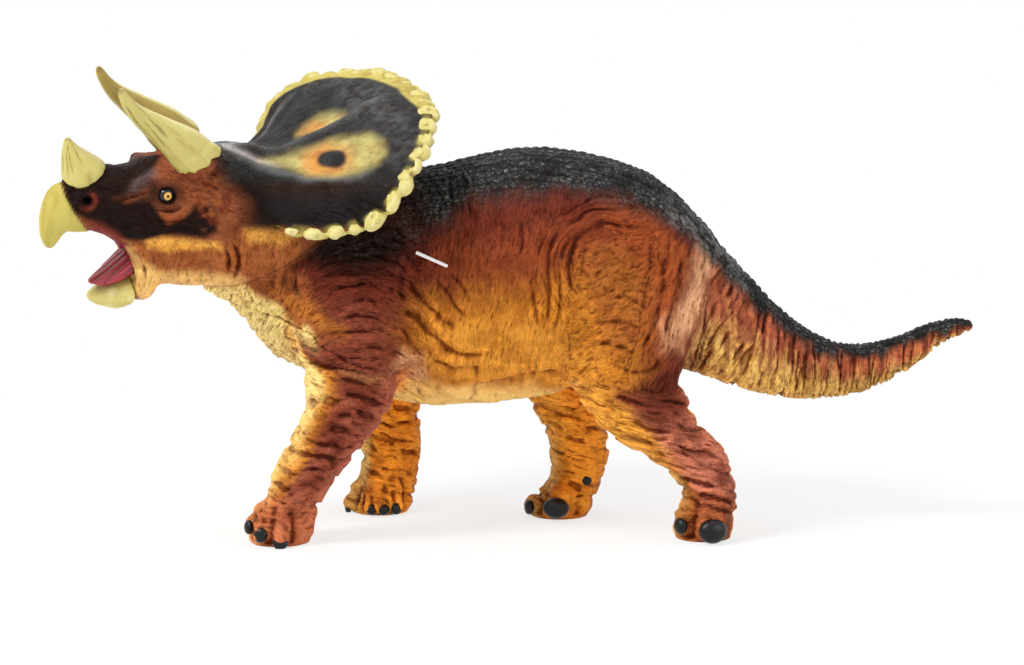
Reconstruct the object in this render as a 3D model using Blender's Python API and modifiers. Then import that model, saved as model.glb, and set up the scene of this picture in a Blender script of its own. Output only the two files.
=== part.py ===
# Toy dinosaur figure: a three-horned dinosaur of soft vinyl, cast in separate pieces that are
# glued along seams, with a white tag fastener through its left flank.
# The figure faces -X, its left side is -Y, and it stands on z = 0.

import math

import bmesh
import bpy
import numpy as np
from mathutils import Euler, Matrix, Vector
from mathutils.bvhtree import BVHTree

# Trunk
trunk_length = 0.125
trunk_height = 0.0785
trunk_width = 0.068
belly_height = 0.0385

# Tail
tail_length = 0.0866
tail_depth = 0.0420
tail_breadth = 0.0405

# Legs, measured from the top of the shoulder or haunch down to the sole
foreleg_length = 0.0925
foreleg_girth = 0.027
foreleg_track = 0.050
foreleg_place = -0.044
hindleg_length = 0.0965
hindleg_girth = 0.034
hindleg_track = 0.037
hindleg_place = 0.033

# Feet and fullness of the legs
toe_radius = 0.0040
claw_radius = 0.0024
forefoot_radius = 0.0088
hindfoot_radius = 0.0073
leg_fullness = 0.0008

# Head, in its own frame: x runs back from the beak, z runs up, the origin is in the neck. The
# neck's middle lies on the trunk, at shares of the trunk's length and height.
neck_share = (-0.528, 0.6726)
head_yaw = math.radians(25)
head_roll = math.radians(14.5)
skull_length = 0.082
skull_height = 0.040
skull_width = 0.052
frill_tip_back = 0.0346
frill_tip_height = 0.0466
frill_length = 0.0565
frill_rise = 0.032
frill_width = 0.1015
frill_crown = 0.0155
frill_thickness = 0.0034
rim_lump_radius = 0.0044
rim_lump_count = 12
brow_horn_length = 0.0376
brow_horn_radius = 0.0067
brow_horn_spacing = 0.022
brow_horn_forward = 0.0385
brow_horn_height = 0.0297
nose_horn_length = 0.0128
nose_horn_radius = 0.0068
nose_horn_forward = 0.0695
nose_horn_height = 0.0220
jaw_seat_forward = 0.0545
jaw_seat_height = -0.0020
jaw_length = 0.0118
jaw_depth = 0.0096
jaw_width = 0.0230
jaw_drop = 0.0126
tongue_length = 0.0117
tongue_depth = 0.0076
tongue_width = 0.0170
tongue_drop = 0.0055
jaw_hinge_radius = 0.0070
eye_radius = 0.0033
eye_forward = 0.0488
eye_height = 0.0204
eye_spread = 0.0235
brow_radius = 0.0036
brow_rise = 0.0014
brow_spread = 0.0190

# Joints between the castings
neck_slope = math.radians(40)
neck_plane_drop = 0.0058
glue_gap = 0.0003
wall = 0.0030
leg_collar = 0.0030
foot_margin = 0.0080
spigot_radius = 0.0072
spigot_depth = 0.0080
peg_radius = 0.0032
peg_depth = 0.0055
horn_seat = 0.0040
filling_gap = 0.0006
seam_gap = 0.0004
neck_spigot_forward = 0.0090

# Tag fastener
tag_bar_length = 0.0103
tag_bar_radius = 0.0005
tag_filament_radius = 0.0003
tag_hole_radius = 0.0009
tag_standoff = 0.0012
tag_inner_gap = 0.0012
tag_pocket_depth = 0.0040
tag_inner_length = 0.0080
tag_place = -0.0239
tag_height = 0.0877
tag_tilt = math.radians(24)
tag_lean = math.radians(16)

# Skin resolution
skin_grain = 0.0015
head_grain = 0.0014
skin_share = 0.105
head_share = 0.11
soft_passes = 6
cut_span = 0.4
ring_points = 20

# Trunk sections: place along, height of centre, lean in degrees, half height, half width,
# sideways shift. Lengths are shares of trunk length, height, height, height, width and width.
trunk_share = [
    (-0.636, 0.722, 41, 0.335, 0.290, -0.065),
    (-0.556, 0.655, 38, 0.329, 0.325, -0.045),
    (-0.473, 0.556, 26, 0.402, 0.385, -0.015),
    (-0.336, 0.486, 10, 0.438, 0.430, 0.0),
    (-0.176, 0.471, 2, 0.482, 0.472, 0.0),
    (0.000, 0.521, 0, 0.491, 0.502, 0.0),
    (0.160, 0.532, 0, 0.468, 0.502, 0.0),
    (0.304, 0.498, 8, 0.420, 0.456, 0.0),
    (0.400, 0.440, 14, 0.328, 0.370, 0.0),
    (0.458, 0.400, 17, 0.270, 0.298, 0.0),
    (0.540, 0.318, 18, 0.200, 0.220, 0.0),
]

# Tail sections from the rump to the tip: place along and height in shares of the tail length,
# lean in degrees, half depth and half breadth in shares of the root's depth and breadth.
tail_share = [
    (-0.020, 0.030, 14, 0.555, 0.560),
    (0.000, -0.003, 17, 0.496, 0.500),
    (0.099, -0.072, 20, 0.419, 0.425),
    (0.209, -0.150, 22, 0.348, 0.358),
    (0.347, -0.214, 18, 0.270, 0.290),
    (0.486, -0.245, 10, 0.210, 0.236),
    (0.623, -0.227, -3, 0.170, 0.190),
    (0.737, -0.180, -18, 0.133, 0.148),
    (0.826, -0.128, -27, 0.099, 0.112),
    (0.893, -0.097, -22, 0.078, 0.088),
    (0.951, -0.083, -6, 0.057, 0.062),
    (0.990, -0.088, 20, 0.028, 0.030),
]

# Leg sections from the top down: height lost in shares of the leg's length, then forward
# shift, sideways shift, half length and half breadth in shares of its girth.
front_left_share = [
    (0.000, 0.00, 0.36, 0.44, 0.28),
    (0.130, 0.00, 0.22, 0.70, 0.42),
    (0.290, -0.07, 0.11, 0.72, 0.46),
    (0.420, -0.15, 0.04, 0.55, 0.44),
    (0.520, -0.18, 0.00, 0.46, 0.41),
    (0.580, -0.24, 0.00, 0.46, 0.40),
    (0.645, -0.40, 0.00, 0.42, 0.38),
    (0.710, -0.54, 0.00, 0.39, 0.36),
    (0.785, -0.71, 0.00, 0.35, 0.33),
    (0.850, -0.82, 0.00, 0.31, 0.33),
    (0.905, -0.93, 0.00, 0.34, 0.35),
    (0.960, -0.98, 0.00, 0.35, 0.35),
    (1.080, -0.98, 0.00, 0.35, 0.35),
]
front_right_share = [
    (0.000, 0.00, 0.36, 0.44, 0.28),
    (0.130, 0.00, 0.22, 0.70, 0.42),
    (0.290, 0.00, 0.11, 0.70, 0.46),
    (0.420, 0.03, 0.04, 0.56, 0.44),
    (0.520, 0.05, 0.00, 0.49, 0.41),
    (0.620, 0.11, 0.00, 0.42, 0.39),
    (0.710, 0.16, 0.00, 0.36, 0.36),
    (0.790, 0.19, 0.00, 0.33, 0.33),
    (0.860, 0.18, 0.06, 0.31, 0.33),
    (0.915, 0.13, 0.09, 0.34, 0.35),
    (0.960, 0.07, 0.10, 0.35, 0.35),
    (1.080, 0.06, 0.10, 0.35, 0.35),
]
hind_left_share = [
    (0.000, 0.00, 0.10, 0.30, 0.16),
    (0.120, 0.00, 0.04, 0.52, 0.28),
    (0.270, 0.02, -0.03, 0.62, 0.37),
    (0.420, 0.02, -0.04, 0.54, 0.37),
    (0.510, 0.07, -0.03, 0.50, 0.35),
    (0.560, 0.13, -0.02, 0.48, 0.34),
    (0.625, 0.23, 0.00, 0.44, 0.32),
    (0.665, 0.33, 0.00, 0.44, 0.31),
    (0.710, 0.50, 0.00, 0.41, 0.29),
    (0.755, 0.64, 0.00, 0.32, 0.27),
    (0.810, 0.76, 0.00, 0.25, 0.25),
    (0.870, 0.81, 0.00, 0.22, 0.25),
    (0.915, 0.78, 0.00, 0.26, 0.28),
    (0.960, 0.75, 0.00, 0.26, 0.27),
    (1.080, 0.75, 0.00, 0.26, 0.27),
]
hind_right_share = [
    (0.000, 0.00, 0.10, 0.30, 0.16),
    (0.120, 0.00, 0.04, 0.52, 0.28),
    (0.270, -0.09, -0.03, 0.60, 0.37),
    (0.420, -0.27, -0.04, 0.50, 0.36),
    (0.520, -0.43, -0.03, 0.44, 0.34),
    (0.590, -0.47, 0.00, 0.38, 0.32),
    (0.655, -0.44, 0.00, 0.31, 0.29),
    (0.715, -0.38, 0.00, 0.27, 0.27),
    (0.775, -0.34, 0.00, 0.27, 0.26),
    (0.840, -0.35, 0.00, 0.24, 0.25),
    (0.890, -0.37, 0.00, 0.22, 0.26),
    (0.930, -0.47, 0.07, 0.27, 0.28),
    (0.970, -0.53, 0.08, 0.28, 0.28),
    (1.080, -0.53, 0.08, 0.28, 0.28),
]

# Sideways place of the peg on a leg, out from the middle of the leg, in shares of its girth
foreleg_peg_share = 0.15
hindleg_peg_share = 0.25

# Toes of each foot: degrees from straight ahead, positive away from the body, and size as a
# share of the toe radius
front_left_toes = [(87, 1.0), (45, 1.0), (6, 0.95), (-34, 0.9), (-76, 0.9)]
front_right_toes = [(78, 0.9), (36, 0.9), (-4, 1.0), (-66, 1.0), (-100, 1.0)]
hind_left_toes = [(78, 1.35), (16, 1.0), (-34, 1.0), (-88, 1.2)]
hind_right_toes = [(88, 1.2), (36, 1.0), (-12, 1.0), (-84, 1.35)]

# The glue seam runs along the chest, over the forelegs and back along the belly:
# place in shares of the trunk length, height in shares of the trunk height
seam_share = [
    (-0.90, 0.560),
    (-0.66, 0.435),
    (-0.54, 0.350),
    (-0.45, 0.250),
    (-0.35, 0.182),
    (-0.22, 0.195),
    (-0.10, 0.125),
    (0.06, 0.128),
    (0.18, 0.128),
    (0.29, 0.112),
    (0.40, 0.095),
    (0.80, 0.085),
]

# Skull sections from the beak back: place, height of centre, half height, half width
skull_share = [
    (-1.000, 0.200, 0.062, 0.031),
    (-0.982, 0.200, 0.210, 0.065),
    (-0.951, 0.225, 0.258, 0.096),
    (-0.902, 0.292, 0.215, 0.135),
    (-0.829, 0.355, 0.228, 0.175),
    (-0.756, 0.342, 0.275, 0.214),
    (-0.701, 0.290, 0.310, 0.250),
    (-0.659, 0.190, 0.420, 0.280),
    (-0.585, 0.183, 0.482, 0.319),
    (-0.488, 0.196, 0.532, 0.366),
    (-0.366, 0.200, 0.548, 0.414),
    (-0.220, 0.165, 0.544, 0.462),
    (-0.073, 0.150, 0.500, 0.490),
    (0.098, 0.270, 0.400, 0.452),
]

# Frill sections from its tip forward: place in shares of the frill's length from the tip,
# height lost in shares of its rise, half width in shares of its width, crown height in
# shares of its full crown
frill_share = [
    (0.000, 0.000, 0.030, 0.03),
    (0.020, 0.000, 0.101, 0.05),
    (0.065, 0.020, 0.204, 0.07),
    (0.134, 0.095, 0.284, 0.10),
    (0.209, 0.185, 0.356, 0.13),
    (0.296, 0.265, 0.424, 0.17),
    (0.368, 0.390, 0.462, 0.23),
    (0.457, 0.560, 0.492, 0.42),
    (0.542, 0.765, 0.462, 0.70),
    (0.609, 0.890, 0.397, 0.86),
    (0.730, 0.990, 0.350, 0.85),
    (0.846, 1.010, 0.310, 0.88),
    (0.960, 0.970, 0.230, 0.94),
]
# Horn sections: forward and up in shares of the horn's length, radius in shares of its base
brow_horn_share = [
    (0.000, 0.000, 1.00),
    (0.122, 0.104, 0.90),
    (0.242, 0.190, 0.73),
    (0.367, 0.277, 0.57),
    (0.505, 0.372, 0.41),
    (0.588, 0.455, 0.30),
    (0.646, 0.545, 0.19),
    (0.665, 0.590, 0.07),
]
nose_horn_share = [
    (0.000, 0.000, 1.00),
    (0.130, 0.210, 0.82),
    (0.260, 0.430, 0.58),
    (0.390, 0.680, 0.30),
    (0.445, 0.900, 0.08),
]

# Lower jaw and tongue sections from the seat forward: place, height lost, half depth, half
# width in shares of the length, depth, depth and width
jaw_share = [
    (-0.30, 0.00, 0.42, 0.50),
    (0.00, 0.08, 0.46, 0.49),
    (0.28, 0.27, 0.47, 0.44),
    (0.52, 0.37, 0.38, 0.34),
    (0.76, 0.43, 0.25, 0.22),
    (1.00, 0.44, 0.08, 0.08),
]
tongue_share = [
    (-0.30, -0.10, 0.48, 0.50),
    (0.00, 0.05, 0.46, 0.49),
    (0.27, 0.34, 0.42, 0.43),
    (0.54, 0.62, 0.34, 0.34),
    (0.78, 0.78, 0.22, 0.22),
    (1.00, 0.84, 0.08, 0.08),
]

# Colour and roughness of each casting
paints = {
    "body_shell": ((0.20, 0.085, 0.055), 0.5),
    "belly_shell": ((0.70, 0.42, 0.12), 0.5),
    "head_shell": ((0.12, 0.075, 0.065), 0.5),
    "lower_jaw": ((0.66, 0.60, 0.20), 0.45),
    "tongue": ((0.36, 0.04, 0.06), 0.4),
    "brow_horn_left": ((0.66, 0.60, 0.20), 0.45),
    "brow_horn_right": ((0.66, 0.60, 0.20), 0.45),
    "nose_horn": ((0.66, 0.60, 0.20), 0.45),
    "foreleg_left": ((0.36, 0.14, 0.09), 0.5),
    "foreleg_right": ((0.58, 0.24, 0.05), 0.5),
    "hindleg_left": ((0.38, 0.16, 0.09), 0.5),
    "hindleg_right": ((0.58, 0.24, 0.05), 0.5),
    "tail": ((0.20, 0.10, 0.06), 0.5),
    "fibre_filling": ((0.85, 0.85, 0.82), 0.9),
    "tag_pin": ((0.88, 0.88, 0.88), 0.35),
}

# Height of the frill across its half width, from the midline ridge to the rim: broad with a
# side ridge at the back, a narrow ridge in front. The one turns into the other between two
# places along the frill.
back_crown_share = [1.00, 0.92, 0.96, 0.74, 0.60, 0.42, 0.18, 0.0]
front_crown_share = [1.00, 0.90, 0.66, 0.42, 0.24, 0.12, 0.05, 0.0]
crown_turn_share = (0.62, 0.96)


def clear_scene():
    for old in list(bpy.data.objects):
        bpy.data.objects.remove(old, do_unlink=True)


def new_collection(name):
    group = bpy.data.collections.new(name)
    bpy.context.scene.collection.children.link(group)
    return group


def principled(name, colour, roughness):
    made = bpy.data.materials.new(name)
    made.use_nodes = True
    shader = made.node_tree.nodes["Principled BSDF"]
    shader.inputs["Base Color"].default_value = (*colour, 1.0)
    shader.inputs["Roughness"].default_value = roughness
    shader.inputs["Metallic"].default_value = 0.0
    made.diffuse_color = (*colour, 1.0)
    return made


def add_mesh(name, points, faces, group):
    mesh = bpy.data.meshes.new(name)
    mesh.from_pydata([tuple(p) for p in points], [], faces)
    made = bpy.data.objects.new(name, mesh)
    group.objects.link(made)
    shape = bmesh.new()
    shape.from_mesh(mesh)
    bmesh.ops.recalc_face_normals(shape, faces=shape.faces)
    shape.to_mesh(mesh)
    shape.free()
    return made


def as_cutter(made):
    made.hide_render = True
    made.display_type = "WIRE"
    return made


# A smooth curve through the rows of a table, with equal steps in each span
def smooth_rows(rows, steps):
    rows = np.array(rows, dtype=float)
    ends = np.vstack([2 * rows[0] - rows[1], rows, 2 * rows[-1] - rows[-2]])
    out = []
    for i in range(len(rows) - 1):
        a, b, c, d = ends[i : i + 4]
        for k in range(steps):
            t = k / steps
            out.append(
                0.5
                * (
                    2 * b
                    + (c - a) * t
                    + (2 * a - 5 * b + 4 * c - d) * t * t
                    + (3 * b - a - 3 * c + d) * t**3
                )
            )
    out.append(rows[-1])
    return out


# A closed skin over oval sections. A row is x, y, z, lean in degrees, half height, half width.
def oval_loft(name, rows, group, steps=2, around=ring_points):
    points = []
    faces = []
    for x, y, z, lean, half_height, half_width in smooth_rows(rows, steps):
        up = Vector((math.sin(math.radians(lean)), 0, math.cos(math.radians(lean))))
        for k in range(around):
            turn = 2 * math.pi * k / around
            side = Vector((0, math.sin(turn) * max(half_width, 0), 0))
            points.append(Vector((x, y, z)) + up * (math.cos(turn) * half_height) + side)
    count = len(points) // around
    for ring in range(count - 1):
        for k in range(around):
            first = ring * around + k
            second = ring * around + (k + 1) % around
            faces.append((first, second, second + around, first + around))
    faces.append(tuple(range(around)))
    faces.append(tuple(range((count - 1) * around, count * around)))
    return add_mesh(name, points, faces, group)


def ball(name, place, radii, group, turn=0.0):
    mesh = bpy.data.meshes.new(name)
    shape = bmesh.new()
    bmesh.ops.create_uvsphere(shape, u_segments=16, v_segments=10, radius=1.0)
    shape.transform(Matrix.LocRotScale(Vector(place), Euler((0, 0, turn)), Vector(radii)))
    shape.to_mesh(mesh)
    shape.free()
    made = bpy.data.objects.new(name, mesh)
    group.objects.link(made)
    return made


def rod(name, start, end, radius, group, sides=16):
    start = Vector(start)
    end = Vector(end)
    mesh = bpy.data.meshes.new(name)
    shape = bmesh.new()
    bmesh.ops.create_cone(
        shape,
        cap_ends=True,
        segments=sides,
        radius1=radius,
        radius2=radius,
        depth=(end - start).length,
    )
    turn = (end - start).to_track_quat("Z", "Y").to_matrix().to_4x4()
    shape.transform(Matrix.Translation((start + end) / 2) @ turn)
    shape.to_mesh(mesh)
    shape.free()
    made = bpy.data.objects.new(name, mesh)
    group.objects.link(made)
    return made


# A block whose top face passes through a point, square to a normal, with the block below it
def half_space(name, point, normal, group):
    mesh = bpy.data.meshes.new(name)
    shape = bmesh.new()
    bmesh.ops.create_cube(shape, size=cut_span)
    turn = Vector(normal).to_track_quat("Z", "Y").to_matrix().to_4x4()
    middle = Vector(point) - Vector(normal).normalized() * (cut_span / 2)
    shape.transform(Matrix.Translation(middle) @ turn)
    shape.to_mesh(mesh)
    shape.free()
    made = bpy.data.objects.new(name, mesh)
    group.objects.link(made)
    return as_cutter(made)


# Replaces an object's mesh with what its modifiers make of it
def settle(made):
    bpy.context.view_layer.update()
    graph = bpy.context.evaluated_depsgraph_get()
    mesh = bpy.data.meshes.new_from_object(made.evaluated_get(graph))
    mesh.name = made.name
    made.modifiers.clear()
    made.data = mesh
    return made


def twin(made, name, group):
    other = bpy.data.objects.new(name, made.data.copy())
    other.matrix_world = made.matrix_world.copy()
    group.objects.link(other)
    return other


def combine(made, other, operation):
    step = made.modifiers.new(operation.lower(), "BOOLEAN")
    step.operation = operation
    step.solver = "EXACT"
    step.object = other
    return made


def cut(made, *others):
    for other in others:
        combine(made, other, "DIFFERENCE")
    return made


def keep(made, *others):
    for other in others:
        combine(made, other, "INTERSECT")
    return made


def fuse(made, *others):
    for other in others:
        combine(made, other, "UNION")
    return made


# Joins overlapping masses into one smooth skin and thins its facets
def blend_skin(name, masses, grain, share, group):
    shape = bmesh.new()
    for mass in masses:
        piece = mass.data.copy()
        piece.transform(mass.matrix_world)
        shape.from_mesh(piece)
        bpy.data.meshes.remove(piece)
    mesh = bpy.data.meshes.new(name)
    shape.to_mesh(mesh)
    shape.free()
    for mass in masses:
        bpy.data.objects.remove(mass, do_unlink=True)
    made = bpy.data.objects.new(name, mesh)
    group.objects.link(made)
    grid = made.modifiers.new("one skin", "REMESH")
    grid.mode = "VOXEL"
    grid.voxel_size = grain
    soften = made.modifiers.new("soften", "SMOOTH")
    soften.factor = 0.5
    soften.iterations = soft_passes
    thin = made.modifiers.new("thin", "DECIMATE")
    thin.ratio = share
    return settle(made)


def trunk_rows(inset=0.0, first=0, last=None):
    rows = []
    for along, high, lean, half_height, half_width, shift in trunk_share[first:last]:
        rows.append(
            (
                along * trunk_length,
                shift * trunk_width,
                belly_height + high * trunk_height,
                lean,
                half_height * trunk_height - inset,
                half_width * trunk_width - inset,
            )
        )
    return rows


def tail_root():
    along, high = trunk_share[-2][:2]
    return Vector((along * trunk_length, 0, belly_height + high * trunk_height))


def tail_rows():
    root = tail_root()
    rows = []
    for along, high, lean, half_depth, half_breadth in tail_share:
        rows.append(
            (
                root.x + along * tail_length,
                0,
                root.z + high * tail_length,
                lean,
                half_depth * tail_depth,
                half_breadth * tail_breadth,
            )
        )
    return rows


# A leg's side is -1 on the left and +1 on the right; a margin widens it towards the foot
def leg_rows(leg, collar=0.0, margin=0.0):
    rows = []
    side = leg["side"]
    for drop, ahead, inward, half_length, half_breadth in leg["shares"]:
        grow = leg_fullness + collar + margin * max(drop - 0.5, 0)
        rows.append(
            (
                leg["place"] + ahead * leg["girth"],
                side * (leg["track"] / 2 - inward * leg["girth"]),
                leg["length"] * (1 - drop),
                90,
                half_length * leg["girth"] + grow,
                half_breadth * leg["girth"] + grow,
            )
        )
    return rows


# Middle of a leg at a height
def leg_middle(leg, height):
    rows = leg_rows(leg)[::-1]
    heights = [row[2] for row in rows]
    return [float(np.interp(height, heights, [row[axis] for row in rows])) for axis in (0, 1)]


def toe_masses(leg, group):
    side = leg["side"]
    foot = leg_rows(leg)[-2]
    masses = []
    for degrees, size in leg["toes"]:
        turn = math.radians(degrees)
        ahead = Vector((-math.cos(turn), side * math.sin(turn), 0))
        angle = math.atan2(ahead.y, ahead.x)
        toe_size = toe_radius * size
        claw_size = claw_radius * size
        toe = Vector((foot[0], foot[1], toe_size * 0.75)) + ahead * (leg["foot"] - toe_size * 0.65)
        claw = Vector((foot[0], foot[1], claw_size * 0.85)) + ahead * leg["foot"]
        masses.append(ball("toe", toe, (toe_size * 1.1, toe_size, toe_size), group, angle))
        masses.append(ball("claw", claw, (claw_size, claw_size, claw_size), group, angle))
    return masses


def head_matrix():
    along, high = neck_share
    neck = (along * trunk_length, 0, belly_height + high * trunk_height)
    place = Matrix.Translation(neck)
    return place @ Matrix.Rotation(head_yaw, 4, "Z") @ Matrix.Rotation(head_roll, 4, "X")


# The frill's sections in the head's frame, as x, z, half width, crown and share of the front's
# narrow ridge
def frill_sections(steps, last=None):
    out = []
    start, end = crown_turn_share
    for back, down, half, crown in smooth_rows(frill_share[:last], steps):
        out.append(
            (
                frill_tip_back - back * frill_length,
                frill_tip_height - down * frill_rise,
                max(half, frill_share[0][2]) * frill_width,
                max(crown, 0) * frill_crown,
                min(max((back - start) / (end - start), 0), 1),
            )
        )
    return out


def frill_mass(group):
    broad = [row[0] for row in smooth_rows([(share, share) for share in back_crown_share], 2)]
    narrow = [row[0] for row in smooth_rows([(share, share) for share in front_crown_share], 2)]
    half_count = len(broad) - 1
    points = []
    faces = []
    sections = frill_sections(2)
    for x, z, half, crown, front in sections:
        top = []
        under = []
        for k in range(-half_count, half_count + 1):
            share = abs(k) / half_count
            y = half * math.copysign(math.sin(share * math.pi / 2), k)
            level = broad[abs(k)] * (1 - front) + narrow[abs(k)] * front
            top.append((x, y, z + crown * level))
            under.append((x, y, z - frill_thickness + crown * 0.35 * (1 - share**2)))
        points += top + under[::-1]
    around = 2 * (2 * half_count + 1)
    for ring in range(len(sections) - 1):
        for k in range(around):
            first = ring * around + k
            second = ring * around + (k + 1) % around
            faces.append((first, second, second + around, first + around))
    faces.append(tuple(range(around)))
    faces.append(tuple(range((len(sections) - 1) * around, len(sections) * around)))
    return add_mesh("frill", points, faces, group)


# The rim carries a lump at the tip and a row of equal lumps down each side
def rim_lumps(group):
    edge = []
    for x, z, half, _, _ in frill_sections(6, -1):
        edge.append(Vector((x, half - rim_lump_radius * 0.3, z - frill_thickness * 0.5)))
    edge[0] = Vector((frill_tip_back - rim_lump_radius * 0.3, 0, edge[0].z))
    run = [0.0]
    for near, far in zip(edge, edge[1:]):
        run.append(run[-1] + (far - near).length)
    masses = []
    for k in range(rim_lump_count + 1):
        goal = run[-1] * k / rim_lump_count
        at = min(max(1, sum(1 for r in run if r < goal)), len(run) - 1)
        share = (goal - run[at - 1]) / (run[at] - run[at - 1])
        spot = edge[at - 1].lerp(edge[at], share)
        along = edge[at] - edge[at - 1]
        for side in (-1, 1) if k else (1,):
            masses.append(
                ball(
                    "lump",
                    (spot.x, side * spot.y, spot.z),
                    (rim_lump_radius, rim_lump_radius * 0.85, rim_lump_radius * 0.72),
                    group,
                    math.atan2(side * along.y, along.x),
                )
            )
    return masses


# A horn along its path, with a straight seat below its base
def horn(name, shares, base, length, radius, group, grow=0.0):
    path = [Vector((-ahead * length, 0, up * length)) for ahead, up, _ in shares]
    start = (path[1] - path[0]).normalized()
    path.insert(0, path[0] - start * (horn_seat + grow))
    sizes = [shares[0][2]] + [size for _, _, size in shares]
    rows = []
    for k, spot in enumerate(path):
        along = path[min(k + 1, len(path) - 1)] - path[max(k - 1, 0)]
        lean = math.degrees(math.atan2(along.z, -along.x))
        size = sizes[k] * radius + grow
        rows.append((base.x + spot.x, base.y, base.z + spot.z, lean, size, size * 0.88))
    return oval_loft(name, rows, group, steps=2, around=14)


def skull_mass(group):
    rows = []
    for ahead, high, half_height, half_width in skull_share:
        rows.append(
            (
                ahead * skull_length,
                0,
                high * skull_height,
                0,
                half_height * skull_height,
                half_width * skull_width,
            )
        )
    return oval_loft("skull", rows, group, around=24)


def mouth_piece(name, shares, drop, length, depth, width, group, grow=0.0):
    rows = []
    for ahead, down, half_depth, half_width in shares:
        rows.append(
            (
                -jaw_seat_forward - ahead * length,
                0,
                -drop - down * depth,
                0,
                half_depth * depth + grow,
                half_width * width + grow,
            )
        )
    return oval_loft(name, rows, group, around=16)


# The space in front of the jaw's seat and below the mouth line, drawn in by a gap
def mouth_space(name, gap, group):
    mesh = bpy.data.meshes.new(name)
    shape = bmesh.new()
    bmesh.ops.create_cube(shape, size=cut_span)
    corner = Vector((-jaw_seat_forward - gap, 0, jaw_seat_height - gap))
    bmesh.ops.translate(shape, verts=shape.verts, vec=corner - Vector((1, 0, 1)) * cut_span / 2)
    shape.to_mesh(mesh)
    shape.free()
    made = bpy.data.objects.new(name, mesh)
    group.objects.link(made)
    return as_cutter(made)


def below_seam(name, gap, group):
    curve = smooth_rows(
        [(along * trunk_length, belly_height + high * trunk_height) for along, high in seam_share],
        3,
    )
    outline = [(x, z + gap) for x, z in curve]
    outline += [(curve[-1][0], -cut_span), (curve[0][0], -cut_span)]
    count = len(outline)
    points = [(x, -cut_span, z) for x, z in outline] + [(x, cut_span, z) for x, z in outline]
    faces = [(k, (k + 1) % count, (k + 1) % count + count, k + count) for k in range(count)]
    faces += [tuple(range(count)), tuple(range(count, 2 * count))]
    return as_cutter(add_mesh(name, points, faces, group))


def seam_level(x):
    places = [along * trunk_length for along, _ in seam_share]
    levels = [belly_height + high * trunk_height for _, high in seam_share]
    return float(np.interp(x, places, levels))


def first_hit(made, origin, direction):
    shape = bmesh.new()
    shape.from_mesh(made.data)
    tree = BVHTree.FromBMesh(shape)
    shape.free()
    return tree.ray_cast(origin, direction)[0]


def leg_plan():
    fore = {
        "length": foreleg_length,
        "girth": foreleg_girth,
        "track": foreleg_track,
        "place": foreleg_place,
        "foot": forefoot_radius,
        "peg": foreleg_peg_share,
    }
    hind = {
        "length": hindleg_length,
        "girth": hindleg_girth,
        "track": hindleg_track,
        "place": hindleg_place,
        "foot": hindfoot_radius,
        "peg": hindleg_peg_share,
    }
    return {
        "foreleg_left": {**fore, "side": -1, "shares": front_left_share, "toes": front_left_toes},
        "foreleg_right": {**fore, "side": 1, "shares": front_right_share, "toes": front_right_toes},
        "hindleg_left": {**hind, "side": -1, "shares": hind_left_share, "toes": hind_left_toes},
        "hindleg_right": {**hind, "side": 1, "shares": hind_right_share, "toes": hind_right_toes},
    }


def make_body_skin(legs, tools):
    masses = [oval_loft("trunk", trunk_rows(), tools)]
    for name, leg in legs.items():
        masses.append(oval_loft(name + "_mass", leg_rows(leg), tools))
        masses += toe_masses(leg, tools)
    skin = blend_skin("skin", masses, skin_grain, skin_share, tools)
    ground = half_space("ground", (0, 0, 0), (0, 0, 1), tools)
    return as_cutter(settle(cut(skin, ground)))


def make_head_skin(tools):
    masses = [skull_mass(tools), frill_mass(tools)]
    masses += rim_lumps(tools)
    hinge = (-jaw_seat_forward + jaw_hinge_radius * 0.4, 0, -jaw_drop + jaw_hinge_radius * 0.3)
    hinge_radii = (jaw_hinge_radius * 0.8, jaw_width * 0.56, jaw_hinge_radius)
    masses.append(ball("hinge", hinge, hinge_radii, tools))
    for side in (-1, 1):
        eye = (-eye_forward, side * eye_spread / 2, eye_height)
        masses.append(ball("eye", eye, (eye_radius, eye_radius, eye_radius), tools))
        brow = (-eye_forward + brow_radius / 2, side * brow_spread / 2, eye_height + brow_rise)
        masses.append(ball("brow", brow, (brow_radius * 1.5, brow_radius, brow_radius), tools))
    return blend_skin("head_skin", masses, head_grain, head_share, tools)


def make_legs(legs, hollow, low_side, parts, tools):
    for name, leg in legs.items():
        zone = as_cutter(oval_loft(name + "_zone", leg_rows(leg, leg_collar, foot_margin), tools))
        piece = settle(keep(twin(hollow, name, parts), zone))
        settle(keep(piece, low_side))
        level = seam_level(leg["place"])
        x, y = leg_middle(leg, level)
        y += leg["side"] * leg["peg"] * leg["girth"]
        low = Vector((x, y, seam_level(x) - peg_depth))
        high = Vector((x, y, seam_level(x) + peg_depth))
        peg = as_cutter(rod(name + "_peg", low, high, peg_radius, tools))
        leg["socket"] = as_cutter(
            rod(
                name + "_socket",
                low,
                high + Vector((0, 0, glue_gap)),
                peg_radius + glue_gap,
                tools,
            )
        )
        settle(fuse(piece, peg))


# Centres the figure over the origin, cutters with it
def stand_centred(parts, tools):
    low = Vector((cut_span, cut_span))
    high = -low
    for made in parts.objects:
        for vertex in made.data.vertices:
            spot = made.location + vertex.co
            low = Vector((min(low.x, spot.x), min(low.y, spot.y)))
            high = Vector((max(high.x, spot.x), max(high.y, spot.y)))
    middle = (low + high) / 2
    for made in list(parts.objects) + list(tools.objects):
        made.location -= Vector((middle.x, middle.y, 0))


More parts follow.
